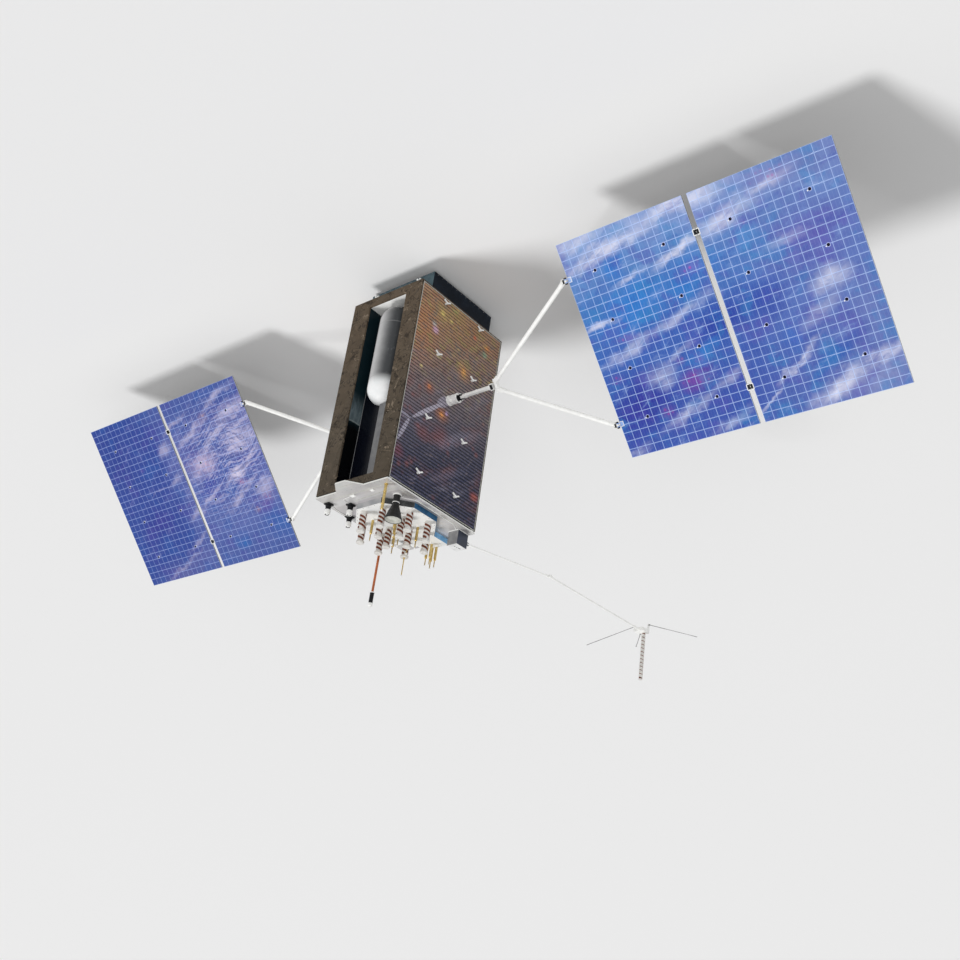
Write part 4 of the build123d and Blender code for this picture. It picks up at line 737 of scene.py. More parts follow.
finish_of = {"launch_ring": ring_metal, "aft_skirt": skirt_skin, "apogee_engine": bell_metal,
             "aft_deck": aft_blanket, "earth_deck": deck_film, "front_frame": blanket,
             "rear_panel": blanket, "bay_back_wall": back_wall, "bay_end_aft": end_light,
             "bay_end_earth": side_wall, "bay_duct": duct_paint, "tank": tank_wrap,
             "antenna_platform": platform_paint,
             "helical_antennas_outer": helix_white, "helical_antennas_inner": helix_white,
             "rod_antennas": gold, "long_rod_antenna": copper, "horn_sensor": cone_dark,
             "deck_sensors": white_metal, "mast_box": box_paint, "aft_thrusters": white_metal,
             "mast_inner_arm": white_tubes, "mast_outer_arm": white_tubes, "mast_head": white_metal,
             "mast_helix": helix_white, "mast_whips": steel}
for side, name in sides:
    finish_of.update({f"radiator_{name}": black_metal, f"bay_wall_{name}": side_wall,
                      f"side_fittings_{name}": white_metal, f"wing_drive_{name}": drive_paint,
                      f"wing_collar_{name}": black_metal, f"wing_boom_{name}": white_tubes,
                      f"wing_yoke_{name}": white_tubes})
    finish_of.update({f"{place}_panel_{name}": boards[side] for place in panel_starts})
for name, material in finish_of.items():
    nodes[name].data.materials.clear()
    nodes[name].data.materials.append(material)


# Ways of making a piece
def fresh(name):
    """Names the piece just added and puts its size and place into its mesh."""
    piece = bpy.context.object
    piece.name = name
    piece.data.name = name
    bpy.ops.object.transform_apply(location=True, rotation=True, scale=True)
    return piece


def alone(piece):
    """Selects one piece and nothing else."""
    bpy.ops.object.select_all(action="DESELECT")
    piece.select_set(True)
    bpy.context.view_layer.objects.active = piece


def pick(piece, test):
    """Opens the piece for editing with the faces that pass the test selected."""
    alone(piece)
    bpy.ops.object.mode_set(mode="EDIT")
    bpy.ops.mesh.select_mode(type="FACE")
    bpy.ops.mesh.select_all(action="DESELECT")
    mesh = bmesh.from_edit_mesh(piece.data)
    for face in mesh.faces:
        face.select_set(bool(test(face)))
    mesh.select_flush(True)
    bmesh.update_edit_mesh(piece.data)


def close_up():
    """Ends the editing of a piece."""
    bpy.ops.object.mode_set(mode="OBJECT")


def framed(piece, margin, rise, facing=1):
    """Insets the faces that look up, or down with facing -1, and moves what is inside up by the rise."""
    pick(piece, lambda face: face.normal.z * facing > 0.9)
    bpy.ops.mesh.inset(thickness=margin)
    bpy.ops.mesh.extrude_region_move(TRANSFORM_OT_translate={"value": (0, 0, rise)})
    close_up()
    return piece


def in_a_row(piece, count, step):
    """Repeats a piece at even steps, as one mesh."""
    alone(piece)
    row = piece.modifiers.new("row", "ARRAY")
    row.count = count
    row.use_relative_offset = False
    row.use_constant_offset = True
    row.constant_offset_displace = step
    bpy.ops.object.modifier_apply(modifier=row.name)


def slab(name, low, high, edge=0.0, steps=1):
    """A plate or block between two corners, its edges broken."""
    low, high = Vector(low), Vector(high)
    bpy.ops.object.select_all(action="DESELECT")
    bpy.ops.mesh.primitive_cube_add(size=1, location=(low + high) / 2)
    bpy.context.object.scale = high - low
    piece = fresh(name)
    if edge:
        bpy.ops.object.mode_set(mode="EDIT")
        bpy.ops.mesh.select_all(action="SELECT")
        bpy.ops.mesh.bevel(offset=edge, segments=steps, affect="EDGES")
        close_up()
    return piece


def turned(name, steps, sides_count=24):
    """A turned piece along Z: a disc drawn up through (radius, height) steps."""
    radius, height = steps[0]
    bpy.ops.object.select_all(action="DESELECT")
    bpy.ops.mesh.primitive_circle_add(vertices=sides_count, radius=radius, fill_type="NGON",
                                      location=(0, 0, height))
    piece = fresh(name)
    bpy.ops.object.mode_set(mode="EDIT")
    bpy.ops.mesh.select_all(action="SELECT")
    for next_radius, next_height in steps[1:]:
        bpy.ops.mesh.extrude_region_move(TRANSFORM_OT_translate={"value": (0, 0, next_height - height)})
        if abs(next_radius - radius) > 1e-6:
            ratio = next_radius / radius
            bpy.ops.transform.resize(value=(ratio, ratio, 1), center_override=(0, 0, next_height))
        radius, height = next_radius, next_height
    bpy.ops.mesh.select_all(action="SELECT")
    bpy.ops.mesh.normals_make_consistent(inside=False)
    close_up()
    bpy.ops.object.shade_smooth_by_angle(angle=radians(32))
    return piece


def spiral(name, radius, low, high, turns, width, thickness, steps=28, hand=1):
    """A flat band wound round Z as a screw, right-handed or with hand -1 left-handed."""
    pitch = (high - low) / turns
    bpy.ops.object.select_all(action="DESELECT")
    bpy.ops.mesh.primitive_plane_add(size=1, rotation=(radians(90), 0, 0),
                                     location=(radius + thickness / 2, 0, low + width / 2))
    bpy.context.object.scale = (thickness, width, 1)
    piece = fresh(name)
    screw = piece.modifiers.new("winding", "SCREW")
    screw.angle = hand * 2 * pi * (turns - width / pitch)
    screw.screw_offset = high - low - width
    screw.steps = screw.render_steps = int(steps * turns)
    screw.use_merge_vertices = False
    bpy.ops.object.modifier_apply(modifier=screw.name)
    bpy.ops.object.mode_set(mode="EDIT")
    bpy.ops.mesh.select_all(action="SELECT")
    bpy.ops.mesh.remove_doubles(threshold=0.00001)
    bpy.ops.mesh.fill_holes(sides=4)
    bpy.ops.mesh.normals_make_consistent(inside=False)
    close_up()
    bpy.ops.object.shade_smooth_by_angle(angle=radians(40))
    return piece


def pipe(name, points, radius, corner=0.03, sides_count=3):
    """A rigid pipe or a clipped harness along a path of points, its corners rounded."""
    bpy.ops.object.select_all(action="DESELECT")
    bpy.ops.mesh.primitive_plane_add(size=0.01, location=points[0])
    piece = fresh(name)
    bpy.ops.object.mode_set(mode="EDIT")
    bpy.ops.mesh.select_mode(type="VERT")
    bpy.ops.mesh.select_all(action="SELECT")
    bpy.ops.mesh.merge(type="CENTER")
    for before, after in zip(points, points[1:]):
        step = Vector(after) - Vector(before)
        bpy.ops.mesh.extrude_vertices_move(TRANSFORM_OT_translate={"value": step})
    if corner and len(points) > 2:
        bpy.ops.mesh.select_all(action="SELECT")
        bpy.ops.mesh.bevel(offset=corner, segments=4, affect="VERTICES")
    close_up()
    bpy.ops.object.convert(target="CURVE")
    piece = bpy.context.object
    piece.data.bevel_depth = radius
    piece.data.bevel_resolution = sides_count
    piece.data.use_fill_caps = True
    bpy.ops.object.convert(target="MESH")
    piece = bpy.context.object
    bpy.ops.object.shade_smooth_by_angle(angle=radians(50))
    return piece


def put(piece, matrix):
    """Moves and turns a piece and keeps its object at the origin."""
    alone(piece)
    piece.matrix_world = matrix
    bpy.ops.object.transform_apply(location=True, rotation=True, scale=True)
    return piece


def aimed(origin, along):
    """The place of a piece whose own Z points along a direction."""
    turn = Vector((0, 0, 1)).rotation_difference(Vector(along)).to_matrix().to_4x4()
    return Matrix.Translation(Vector(origin)) @ turn


def sleeves_along(start, line, places, tube, lip, sides_count):
    """Sleeves on a tube, one for each (distance along, width, radius), with sloped ends."""
    return [put(turned("sleeve", [(tube, 0), (radius, lip), (radius, width), (tube, width + lip)],
                       sides_count), aimed(start + line * along, line))
            for along, width, radius in places]


def gathered(name, pieces):
    """Joins pieces into one."""
    bpy.ops.object.select_all(action="DESELECT")
    for piece in pieces:
        piece.select_set(True)
    bpy.context.view_layer.objects.active = pieces[0]
    if len(pieces) > 1:
        bpy.ops.object.join()
    pieces[0].name = name
    pieces[0].data.name = name
    return pieces[0]


def copied(piece):
    """A copy of a piece with a mesh of its own."""
    alone(piece)
    bpy.ops.object.duplicate(linked=False)
    return bpy.context.object


def repeated(name, piece, matrices):
    """The same piece at many places, as one mesh."""
    matrices = list(matrices)
    twins = [copied(piece) for _ in matrices[1:]] + [piece]
    for twin, matrix in zip(twins, matrices):
        put(twin, matrix)
    return gathered(name, twins)


def at(*places):
    """Moves without a turn, one for each place."""
    return [Matrix.Translation(Vector(place)) for place in places]


def dressed(piece, material, body, replaced=()):
    """Gives a piece its finish and the body it rides on, and hides the parts that it stands for."""
    if not piece.data.materials:
        piece.data.materials.append(material)
    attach(piece, body)
    if replaced:
        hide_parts(*replaced)
    return piece


def wing_matrix(side):
    """Turns a wing's own directions, u outwards, v across and n to the sun side, into the satellite's."""
    out = Vector((side, 0, 0))
    across = wing_n.cross(out)
    rows = Matrix((out, across, wing_n)).transposed().to_4x4()
    return Matrix.Translation((0, 0, wing_height)) @ rows


def both_wings(piece, material, body, stem):
    """A piece made in the wing's own directions, put on both wings. Body None is the satellite's own."""
    twin = copied(piece)
    for one, (side, name) in ((piece, sides[0]), (twin, sides[1])):
        put(one, wing_matrix(side))
        one.name = one.data.name = f"{stem}_{name}"
        dressed(one, material[side] if isinstance(material, dict) else material,
                f"wing_{name}_{body}" if body else "bus")


# Solar cells: one glass-edged cell, repeated over each panel, and the hold-down cups between them
for place, start in panel_starts.items():
    cell = slab("cell", (start + cell_gap / 2, -panel_length / 2 + cell_gap / 2, sun_face - 0.0005),
                (start + cell_wide - cell_gap / 2, -panel_length / 2 + cell_tall - cell_gap / 2,
                 sun_face + 0.002))
    pick(cell, lambda face: face.normal.z > 0.5)
    bpy.ops.mesh.inset(thickness=0.0025)
    bpy.ops.transform.translate(value=(0, 0, 0.0008))
    close_up()
    pick(cell, lambda face: face.normal.z < -0.5)
    bpy.ops.mesh.delete(type="FACE")
    close_up()
    in_a_row(cell, cell_columns, (cell_wide, 0, 0))
    in_a_row(cell, cell_rows, (0, cell_tall, 0))
    both_wings(cell, cells_paint, place, f"solar_cells_{place}")

    hole_places = [(start + panel_width / 2 + u, v, sun_face) for u in (-0.585, 0.585)
                   for v in (-1.14, -0.377, 0.377, 1.14)]
    cup = turned("cup", [(0.023, -0.004), (0.023, 0.0044), (0.021, 0.0048), (0.008, 0.0044),
                         (0.007, 0.005)], 20)
    rim = turned("rim", [(0.031, -0.004), (0.031, 0.0036), (0.027, 0.0052), (0.0236, 0.0046),
                         (0.0232, 0.0036)], 20)
    both_wings(repeated("rims", rim, at(*hole_places)), cup_rim_highlight, place,
               f"hold_down_rims_{place}")
    cups = repeated("cups", cup, at(*hole_places))
    both_wings(cups, cup_dark, place, f"hold_down_cups_{place}")
    speck = turned("speck", [(0.010, 0.0), (0.010, 0.004), (0.008, 0.0055)], 12)
    specks = repeated("specks", speck, at(*[(u - 0.034, v - 0.012, n) for u, v, n in hole_places]))
    both_wings(specks, white_metal, place, f"hold_down_pins_{place}")

# Panel backs: ribs both ways, harness runs and diode boards
for place, start in panel_starts.items():
    low_n, end = -sun_face, start + panel_width
    strips = []
    for v in (-1.62, -0.758, 0.0, 0.758, 1.62):
        strips.append(slab("rib", (start + 0.04, v - 0.022, low_n - 0.005),
                           (end - 0.04, v + 0.022, low_n + 0.001), 0.002))
    for u in (start + 0.05, start + 0.73, start + 1.416, end - 0.05):
        strips.append(slab("rib", (u - 0.016, -1.64, low_n - 0.004), (u + 0.016, 1.64, low_n + 0.001),
                           0.0015))
    ribs = gathered("ribs", strips)
    both_wings(ribs, rib_paint, place, f"panel_back_ribs_{place}")
    wire = 0.0045
    runs = [pipe("run", [(start + 0.10, v, low_n - wire), (end - 0.22, v, low_n - wire),
                         (end - 0.14, v * 0.97 - 0.02, low_n - wire)], wire, 0.03, 2)
            for v in (-1.25, -0.40, 0.42, 1.27)]
    runs.append(pipe("run", [(start + 0.10, v, low_n - wire) for v in (-1.3, 1.3)], wire, 0, 2))
    both_wings(gathered("runs", runs), white_tubes, place, f"panel_harness_{place}")
    board = slab("board", (-0.08, -0.045, low_n - 0.0065), (0.08, 0.045, low_n + 0.001), 0.003, 2)
    framed(board, 0.012, 0.002, -1)
    boards_at = [(start + u, v, 0) for u in (0.40, 1.07, 1.75) for v in (-1.10, -0.25, 0.57, 1.42)]
    both_wings(repeated("boards", board, at(*boards_at)), tape, place,
               f"diode_boards_{place}")

# Wing root: the drive housing's bolts, bands, plug and lead, the collar's clamps, the hinge's springs
bolt = turned("bolt", [(0.0035, 0), (0.0035, 0.004), (0.0028, 0.0048), (0.0015, 0.0048), (0.0013, 0.003)],
              8)
flange_bolts = repeated("bolts", bolt, [aimed((0.791, 0.084 * sin(k * pi / 8), 0.084 * cos(k * pi / 8)),
                                              (1, 0, 0)) for k in range(16)])
bands = [put(turned("band", [(radius, 0), (radius, width), (radius - 0.003, width + 0.002)], 48),
             aimed((u, 0, 0), (1, 0, 0)))
         for u, radius, width in ((0.800, 0.0845, 0.010), (0.880, 0.0825, 0.006), (0.966, 0.0840, 0.018))]
screws = repeated("screws", turned("screw", [(0.004, 0), (0.004, 0.002), (0.0025, 0.003)], 8),
                  [aimed((0.975, 0.0835 * sin(k * pi / 6), 0.0835 * cos(k * pi / 6)),
                         (0, sin(k * pi / 6), cos(k * pi / 6))) for k in range(12)])
plug = slab("plug", (0.83, -0.022, 0.074), (0.875, 0.022, 0.098), 0.004, 2)
lead = pipe("lead", [(0.852, 0, 0.092), (0.852, 0.035, 0.106), (0.825, 0.075, 0.088),
                     (0.784, 0.082, 0.076)], 0.006, 0.015)
bands.append(screws)
both_wings(gathered("drive_trim", [flange_bolts, plug, lead, *bands]), white_metal, None,
           "drive_trim")
clamps = []
for v in (-0.056, 0.056):
    clamps.append(slab("ear", (0.9915, v - 0.007, -0.022), (1.040, v + 0.007, 0.022), 0.003, 2))
    for low, high in ((0.018, 0.036), (-0.036, -0.018)):
        clamps.append(slab("lip", (0.9925, v - 0.011, low), (1.012, v + 0.011, high), 0.003, 2))
both_wings(gathered("clamps", clamps), white_metal, "collar", "collar_clamps")
coils = gathered("coils", [spiral("coil", 0.0255, low, high, 3.5, 0.0036, 0.004)
                           for low, high in ((-0.0605, -0.0435), (0.0435, 0.0605))])
put(coils, aimed((root_hinge, 0, 0), (0, 1, 0)))
both_wings(coils, steel, "collar", "root_springs")

# Boom and yoke: sleeves, the dark apex hinge in its white frame, gussets and arm sleeves
wing_tube, sleeve_lip = 0.0365, 0.004
sleeves = sleeves_along(Vector((0, 0, 0)), Vector((1, 0, 0)), [(1.124, 0.030, 0.040), (1.36, 0.014, 0.040),
                                                               (1.615, 0.036, 0.040)],
                        wing_tube, sleeve_lip, 28)
conduit = pipe("conduit", [(1.146, 0.0, 0.044), (1.62, 0.0, 0.044), (1.66, 0.012, 0.040)], 0.0045, 0.02)
both_wings(gathered("boom_sleeves", sleeves + [conduit]), white_metal, "boom", "boom_sleeves")
hood = framed(slab("hood", (1.664, -0.040, 0.028), (1.712, 0.040, 0.043), 0.006, 2), 0.008, -0.005)
both_wings(hood, black_metal, "boom", "apex_hood")
cheeks = [slab("cheek", (1.655, v * 0.050 - 0.0045, -0.040), (1.728, v * 0.050 + 0.0045, 0.040), 0.003, 2)
          for v in (-1, 1)]
both_wings(gathered("cheeks", cheeks), white_metal, "boom", "apex_cheeks")
box = slab("box", (1.752, -0.040, 0.012), (1.760, 0.040, 0.034), 0.002)
both_wings(box, black_metal, "yoke", "apex_stop")
arm_start = Vector((1.804, 0.080, 0))
arm_end = Vector((3.578, hinge_half, 0))
arm_length = (arm_end - arm_start).length
arm_line = (arm_end - arm_start).normalized()
arm_sleeves = [(0.055, 0.05, 0.0395), (arm_length * 0.5, 0.018, 0.0395), (arm_length - 0.10, 0.05, 0.0395)]
arm_parts = []
rivet_places = []
for v in (-1, 1):
    arm_parts += sleeves_along(Vector((arm_start.x, arm_start.y * v, 0)),
                               Vector((arm_line.x, arm_line.y * v, 0)), arm_sleeves, wing_tube,
                               sleeve_lip, 28)
    gusset_place = Matrix.Translation((1.815, v * 0.088, 0)) @ Matrix.Rotation(v * 0.54, 4, "Z")
    for low, high in ((0.0335, 0.0385), (-0.0385, -0.0335)):
        gusset = slab("gusset", (-0.06, -0.034, low), (0.06, 0.034, high), 0.004, 2)
        arm_parts.append(put(gusset, gusset_place))
    rivet_places += [gusset_place @ Vector((a, b, 0.0383)) for a in (-0.04, 0.0, 0.04)
                     for b in (-0.02, 0.02)]
rivet = turned("rivet", [(0.005, 0), (0.005, 0.0015), (0.003, 0.003)], 8)
arm_parts.append(repeated("rivets", rivet, at(*rivet_places)))
both_wings(gathered("yoke_sleeves", arm_parts), white_metal, "yoke", "yoke_sleeves")

# Panel-edge hinges: dark spring drums on the arms' ends between white cheeks, white straps on the panel
drums, cheeks, straps = [], [], []
for v in (-hinge_half, hinge_half):
    for steps in ([(0.018, -0.052), (0.0215, -0.050), (0.0215, -0.034), (0.0165, -0.034)],
                  [(0.0165, 0.034), (0.0215, 0.034), (0.0215, 0.050), (0.018, 0.052)]):
        drums.append(put(turned("drum", steps, 24), aimed((edge_hinge, v, 0.045), (0, 1, 0))))
    drums.append(slab("block", (3.583, v - 0.030, 0.0355), (3.606, v + 0.030, 0.050), 0.003, 2))
    for lean in (-1, 1):
        cheeks.append(slab("cheek", (3.570, v + lean * 0.040 - 0.0035, -0.030),
                           (3.614, v + lean * 0.040 + 0.0035, 0.042), 0.002, 2))
        slope = slab("cheek", (-0.027, -0.0035, 0.020), (0.027, 0.0035, 0.040), 0.002, 2)
        cheeks.append(put(slope, Matrix.Translation((3.553, v + lean * 0.022, 0))
                          @ Matrix.Rotation(lean * 0.90, 4, "Z")))
        straps.append(slab("strap", (3.667, v + lean * 0.037 - 0.004, 0.0145),
                           (3.728, v + lean * 0.037 + 0.004, 0.021), 0.002, 2))
    straps.append(slab("strap", (3.720, v - 0.040, 0.0145), (3.729, v + 0.040, 0.020), 0.002, 2))
both_wings(gathered("drums", drums), black_metal, "yoke", "edge_spring_drums")
both_wings(gathered("cheeks", cheeks), white_metal, "yoke", "edge_hinge_cheeks")
both_wings(gathered("straps", straps), white_metal, "inner", "edge_hinge_straps")

# Gap hinges: each panel carries half of a white frame round the dark hinge blocks
gap_middle = (panel_starts["inner"] + panel_width + panel_starts["outer"]) / 2
for place, lean in (("inner", -1), ("outer", 1)):
    cuffs, knobs = [], []
    for v in (-hinge_half, hinge_half):
        for shift in (-1, 1):
            near, far = sorted((gap_middle + lean * 0.008, gap_middle + lean * 0.052))
            cuffs.append(slab("cuff", (near, v + shift * 0.042 - 0.006, -0.013),
                              (far, v + shift * 0.042 + 0.006, 0.0165), 0.004, 3))
        near, far = sorted((gap_middle + lean * 0.043, gap_middle + lean * 0.055))
        cuffs.append(slab("cuff", (near, v - 0.042, 0.0125), (far, v + 0.042, 0.0200), 0.003, 3))
        near, far = sorted((gap_middle + lean * 0.012, gap_middle + lean * 0.040))
        knobs.append(slab("knob", (near, v - 0.032, -0.011), (far, v + 0.032, 0.010), 0.004, 2))
    both_wings(gathered("cuffs", cuffs), drive_paint, place, f"gap_hinge_cuffs_{place}")
    both_wings(gathered("knobs", knobs), black_metal, place, f"gap_hinge_blocks_{place}")

# Side radiators: mirror strips on each side in a pale edging
for side, name in sides:
    near, far = sorted((side * half_wide, side * (half_wide + 0.006)))
    strip = slab("strip", (near, -half_deep + 0.045, side_low + 0.017),
                 (far, half_deep - 0.040, side_low + 0.013 + strip_pitch - 0.006), 0.002)
    in_a_row(strip, strip_count, (0, 0, strip_pitch))
    strip.name = strip.data.name = f"mirror_strips_{name}"
    dressed(strip, mirrors[side], "bus")
    near, far = sorted((side * (half_wide - 0.0005), side * (half_wide + 0.009)))
    front, back = -half_deep + 0.037, half_deep - 0.030
    edging = [slab("edge", (near, y - 0.0035, side_low), (far, y + 0.0035, side_high), 0.0015)
              for y in (front, back)]
    edging += [slab("edge", (near, front, low), (far, back, high), 0.0015)
               for low, high in ((side_high - 0.012, side_high - 0.001),
                                 (side_low + 0.001, side_low + 0.011))]
    dressed(gathered(f"radiator_edging_{name}", edging), pale_trim, "bus")

# Helical antennas: a white tube with its copper winding, a foot and a wide cap
tube = turned("helical_tube", [(0.062, 0.0), (0.062, 0.010), (0.056, 0.016), (0.056, 0.024),
                               (0.0500, 0.028), (0.0500, 0.308), (0.056, 0.312), (0.066, 0.318),
                               (0.066, 0.345), (0.062, 0.350), (0.034, 0.350), (0.032, 0.3475)], 32)
first_band = spiral("helical_winding", 0.0490, 0.032, 0.308, 2.0, 0.036, 0.0050, 40, -1)
second_band = put(copied(first_band), Matrix.Rotation(pi, 4, "Z"))
winding = gathered("helical_winding", [first_band, second_band])
for ring_name, ring_radius, ring_count in (("outer", 0.555, 8), ("inner", 0.250, 4)):
    spots = []
    for k in range(ring_count):
        angle = radians(22.5) + k * 2 * pi / ring_count
        place = (ring_radius * cos(angle), platform_middle + ring_radius * sin(angle), platform_top)
        spots.append(Matrix.Translation(place) @ Matrix.Rotation(angle * 1.7 + 0.6, 4, "Z"))
    tubes = repeated(f"helical_tubes_{ring_name}", copied(tube), spots)
    dressed(tubes, helix_white, "bus", [f"helical_antennas_{ring_name}"])
    windings = repeated(f"helical_windings_{ring_name}", copied(winding), spots)
    dressed(windings, helix_brown, "bus")
for spare in (tube, winding):
    bpy.data.objects.remove(spare)

# Rod antennas: gold sleeves with collars, thin upper rods and white tips
rod_places = [(0, platform_middle)]
rod_places += [(x, platform_middle + y) for x in (-0.255, 0.255) for y in (-0.255, 0.255)]
rod_places += [(x, y) for x in (-0.045, 0.045) for y in (0.85, 0.97)]
rod_places += [(0.015, 0.372), (-0.05, 0.084)]
rod_spots = at(*[(x, y, platform_top) for x, y in rod_places])
rod = turned("rod", [(0.022, 0.0), (0.022, 0.252), (0.018, 0.255), (0.009, 0.257), (0.009, 0.262),
                     (0.0085, 0.375)], 20)
tips = turned("tips", [(0.009, 0.374), (0.013, 0.378), (0.013, 0.396), (0.009, 0.400)], 16)
foot = turned("foot", [(0.036, 0.0), (0.036, 0.006), (0.030, 0.010), (0.0225, 0.010), (0.0225, 0.018),
                       (0.0215, 0.0185)], 20)
corner_place = Matrix.Translation((-0.637, -0.906, deck_top))
corner_rod = turned("corner_rod", [(0.030, 0.0), (0.030, 0.012), (0.022, 0.014), (0.022, 0.120),
                                   (0.027, 0.122), (0.027, 0.136), (0.022, 0.138), (0.022, 0.330),
                                   (0.027, 0.332), (0.027, 0.346), (0.022, 0.348), (0.022, 0.437),
                                   (0.018, 0.440), (0.0125, 0.441)], 24)
put(corner_rod, corner_place)
cap_place = Matrix.Translation((0.2124, 0.5327, platform_top + 0.350))
cap_rod = put(turned("cap_rod", [(0.016, -0.002), (0.016, 0.012), (0.009, 0.014), (0.0085, 0.305)], 16),
              cap_place)
rods = gathered("rod_antennas_turned", [repeated("rods", rod, rod_spots), corner_rod, cap_rod])
dressed(rods, gold, "bus", ["rod_antennas"])
corner_tip = put(turned("tip", [(0.0125, 0.4395), (0.013, 0.443), (0.013, 0.461), (0.010, 0.465)], 16),
                 corner_place)
cap_tip = put(turned("tip", [(0.009, 0.303), (0.013, 0.307), (0.013, 0.324), (0.009, 0.328)], 16),
              cap_place)
rod_tips = gathered("rod_antenna_tips", [repeated("tips", tips, rod_spots), corner_tip, cap_tip])
dressed(rod_tips, white_metal, "bus")
dressed(repeated("rod_antenna_feet", foot, rod_spots), white_metal, "bus")

# Long rod: copper tube, black choke and white nose
long_place = Matrix.Translation((0.668, 0.398, deck_top))
long_rod = turned("long_rod_turned", [(0.034, 0.0), (0.034, 0.012), (0.026, 0.018), (0.020, 0.030),
                                      (0.020, 1.02), (0.0195, 1.038)], 24)
dressed(put(long_rod, long_place), copper, "bus", ["long_rod_antenna"])
choke = turned("long_rod_choke", [(0.021, 1.030), (0.037, 1.040), (0.038, 1.046), (0.034, 1.052),
                                  (0.034, 1.215), (0.036, 1.222)], 24)
dressed(put(choke, long_place), black_metal, "bus")
nose = turned("long_rod_nose", [(0.030, 1.215), (0.038, 1.223), (0.038, 1.262), (0.030, 1.272),
                                (0.014, 1.276), (0.013, 1.290), (0.016, 1.294), (0.014, 1.300)], 24)
ring = turned("long_rod_ring", [(0.034, 1.030), (0.039, 1.033), (0.039, 1.045), (0.034, 1.048)], 24)
dressed(gathered("long_rod_nose", [put(nose, long_place), put(ring, long_place)]), white_metal, "bus")

# Horn: white-rimmed foot, dark neck, cone with stiffening hoops and a pale lining
horn_place = Matrix.Translation((-0.55, -0.56, deck_top))
horn = turned("horn_turned", [(0.060, 0.010), (0.060, 0.020), (0.056, 0.026), (0.053, 0.030),
                              (0.053, 0.170), (0.056, 0.178), (0.059, 0.200), (0.061, 0.204),
                              (0.064, 0.204), (0.097, 0.300), (0.102, 0.302), (0.104, 0.308),
                              (0.102, 0.312), (0.128, 0.400), (0.135, 0.404), (0.139, 0.412),
                              (0.140, 0.434), (0.137, 0.440), (0.131, 0.440), (0.1285, 0.434),
                              (0.104, 0.386), (0.060, 0.372)], 40)
dressed(put(horn, horn_place), cone_dark, "bus", ["horn_sensor"])
mouth = turned("horn_mouth", [(0.060, 0.374), (0.102, 0.388), (0.1270, 0.4345), (0.1245, 0.4360),
                              (0.098, 0.397), (0.060, 0.388), (0.034, 0.386), (0.030, 0.392),
                              (0.010, 0.394)], 40)
dressed(put(mouth, horn_place), pale_trim, "bus")
rim = turned("horn_foot_rim", [(0.068, 0.0), (0.068, 0.016), (0.064, 0.020), (0.054, 0.020)], 36)
dressed(put(rim, horn_place), white_metal, "bus")
hoop = turned("horn_neck_hoop", [(0.0535, 0.135), (0.057, 0.137), (0.057, 0.146), (0.0535, 0.148)], 36)
dressed(put(hoop, horn_place), white_metal, "bus")

# Deck sensors: dark base plate, white drum with a black band and a lens
sensor_places = [(0.70, -0.82, deck_top), (0.385, -0.64, deck_top), (0.705, -0.34, deck_top)]
plate = framed(slab("plate", (-0.058, -0.058, 0), (0.058, 0.058, 0.020), 0.004, 2), 0.006, 0.004)
black_drum = turned("drum", [(0.047, 0.022), (0.047, 0.055), (0.042, 0.060), (0.042, 0.105),
                             (0.046, 0.110)], 28)
lens = turned("lens", [(0.034, 0.183), (0.034, 0.188), (0.028, 0.186), (0.010, 0.182)], 24)
dark_parts = gathered("dark_parts", [plate, black_drum, lens])
dressed(repeated("deck_sensor_bases", dark_parts, at(*sensor_places)), black_metal, "bus")
white_drum = turned("drum", [(0.043, 0.104), (0.048, 0.110), (0.048, 0.176), (0.044, 0.188), (0.036, 0.190),
                             (0.034, 0.184)], 28)
dressed(repeated("deck_sensor_heads", white_drum, at(*sensor_places)), white_metal, "bus",
        ["deck_sensors"])

# Platform rim: pleated film strips on a backing, and rim bolts
def film_run(name, start, end, material, pleats):
    """Pleated film between two points on the platform's rim, its outer side to the right of the way."""
    start, end = Vector((*start, 0)), Vector((*end, 0))
    line = (end - start).normalized()
    rows = Matrix(((*line,), (-line.y, line.x, 0), (0, 0, 1))).transposed().to_4x4()
    length = (end - start).length
    pitch = length / pleats
    height = platform_top - deck_top
    pleat = slab(name, (0.06 * pitch, -0.006, 0.007), (0.94 * pitch, -0.001, height - 0.007), 0.0018)
    in_a_row(pleat, pleats, (pitch, 0, 0))
    backing = slab("backing", (0.002, -0.002, 0.004), (length - 0.002, 0.002, height - 0.004), 0.001)
    pleat = gathered(name, [pleat, backing])
    put(pleat, Matrix.Translation((start.x, start.y, deck_top)) @ rows)
    dressed(pleat, material, "bus")


flat = 0.635
corner = flat * (sqrt(2) - 1)
front_flat, rear_flat = platform_middle - flat, platform_middle + flat
front_corner, rear_corner = platform_middle - corner, platform_middle + corner
tail_half, tail_front, tail_rear = 0.255, platform_middle + 0.60, 1.0
for name, start, end, material, pleats in (
        ("minus_x", (-flat, rear_corner), (-flat, front_corner), blue_painted_reflection_film, 26),
        ("front_minus_x", (-flat, front_corner), (-corner, front_flat), dark_film, 22),
        ("tail_minus_x", (-tail_half, tail_rear), (-tail_half, tail_front), pale_blue_painted_reflection_film, 18),
        ("rear_minus_x", (-corner, rear_flat), (-flat, rear_corner), blue_painted_reflection_film, 26),
        ("tail_plus_x", (tail_half, tail_front), (tail_half, tail_rear), pale_blue_painted_reflection_film, 18),
        ("plus_x", (flat, front_corner), (flat, rear_corner), blue_painted_reflection_film, 26)):
    film_run(f"platform_film_{name}", start, end, material, pleats)
rim_bolt = turned("bolt", [(0.007, 0), (0.007, 0.003), (0.005, 0.0045)], 8)
rim_places = []
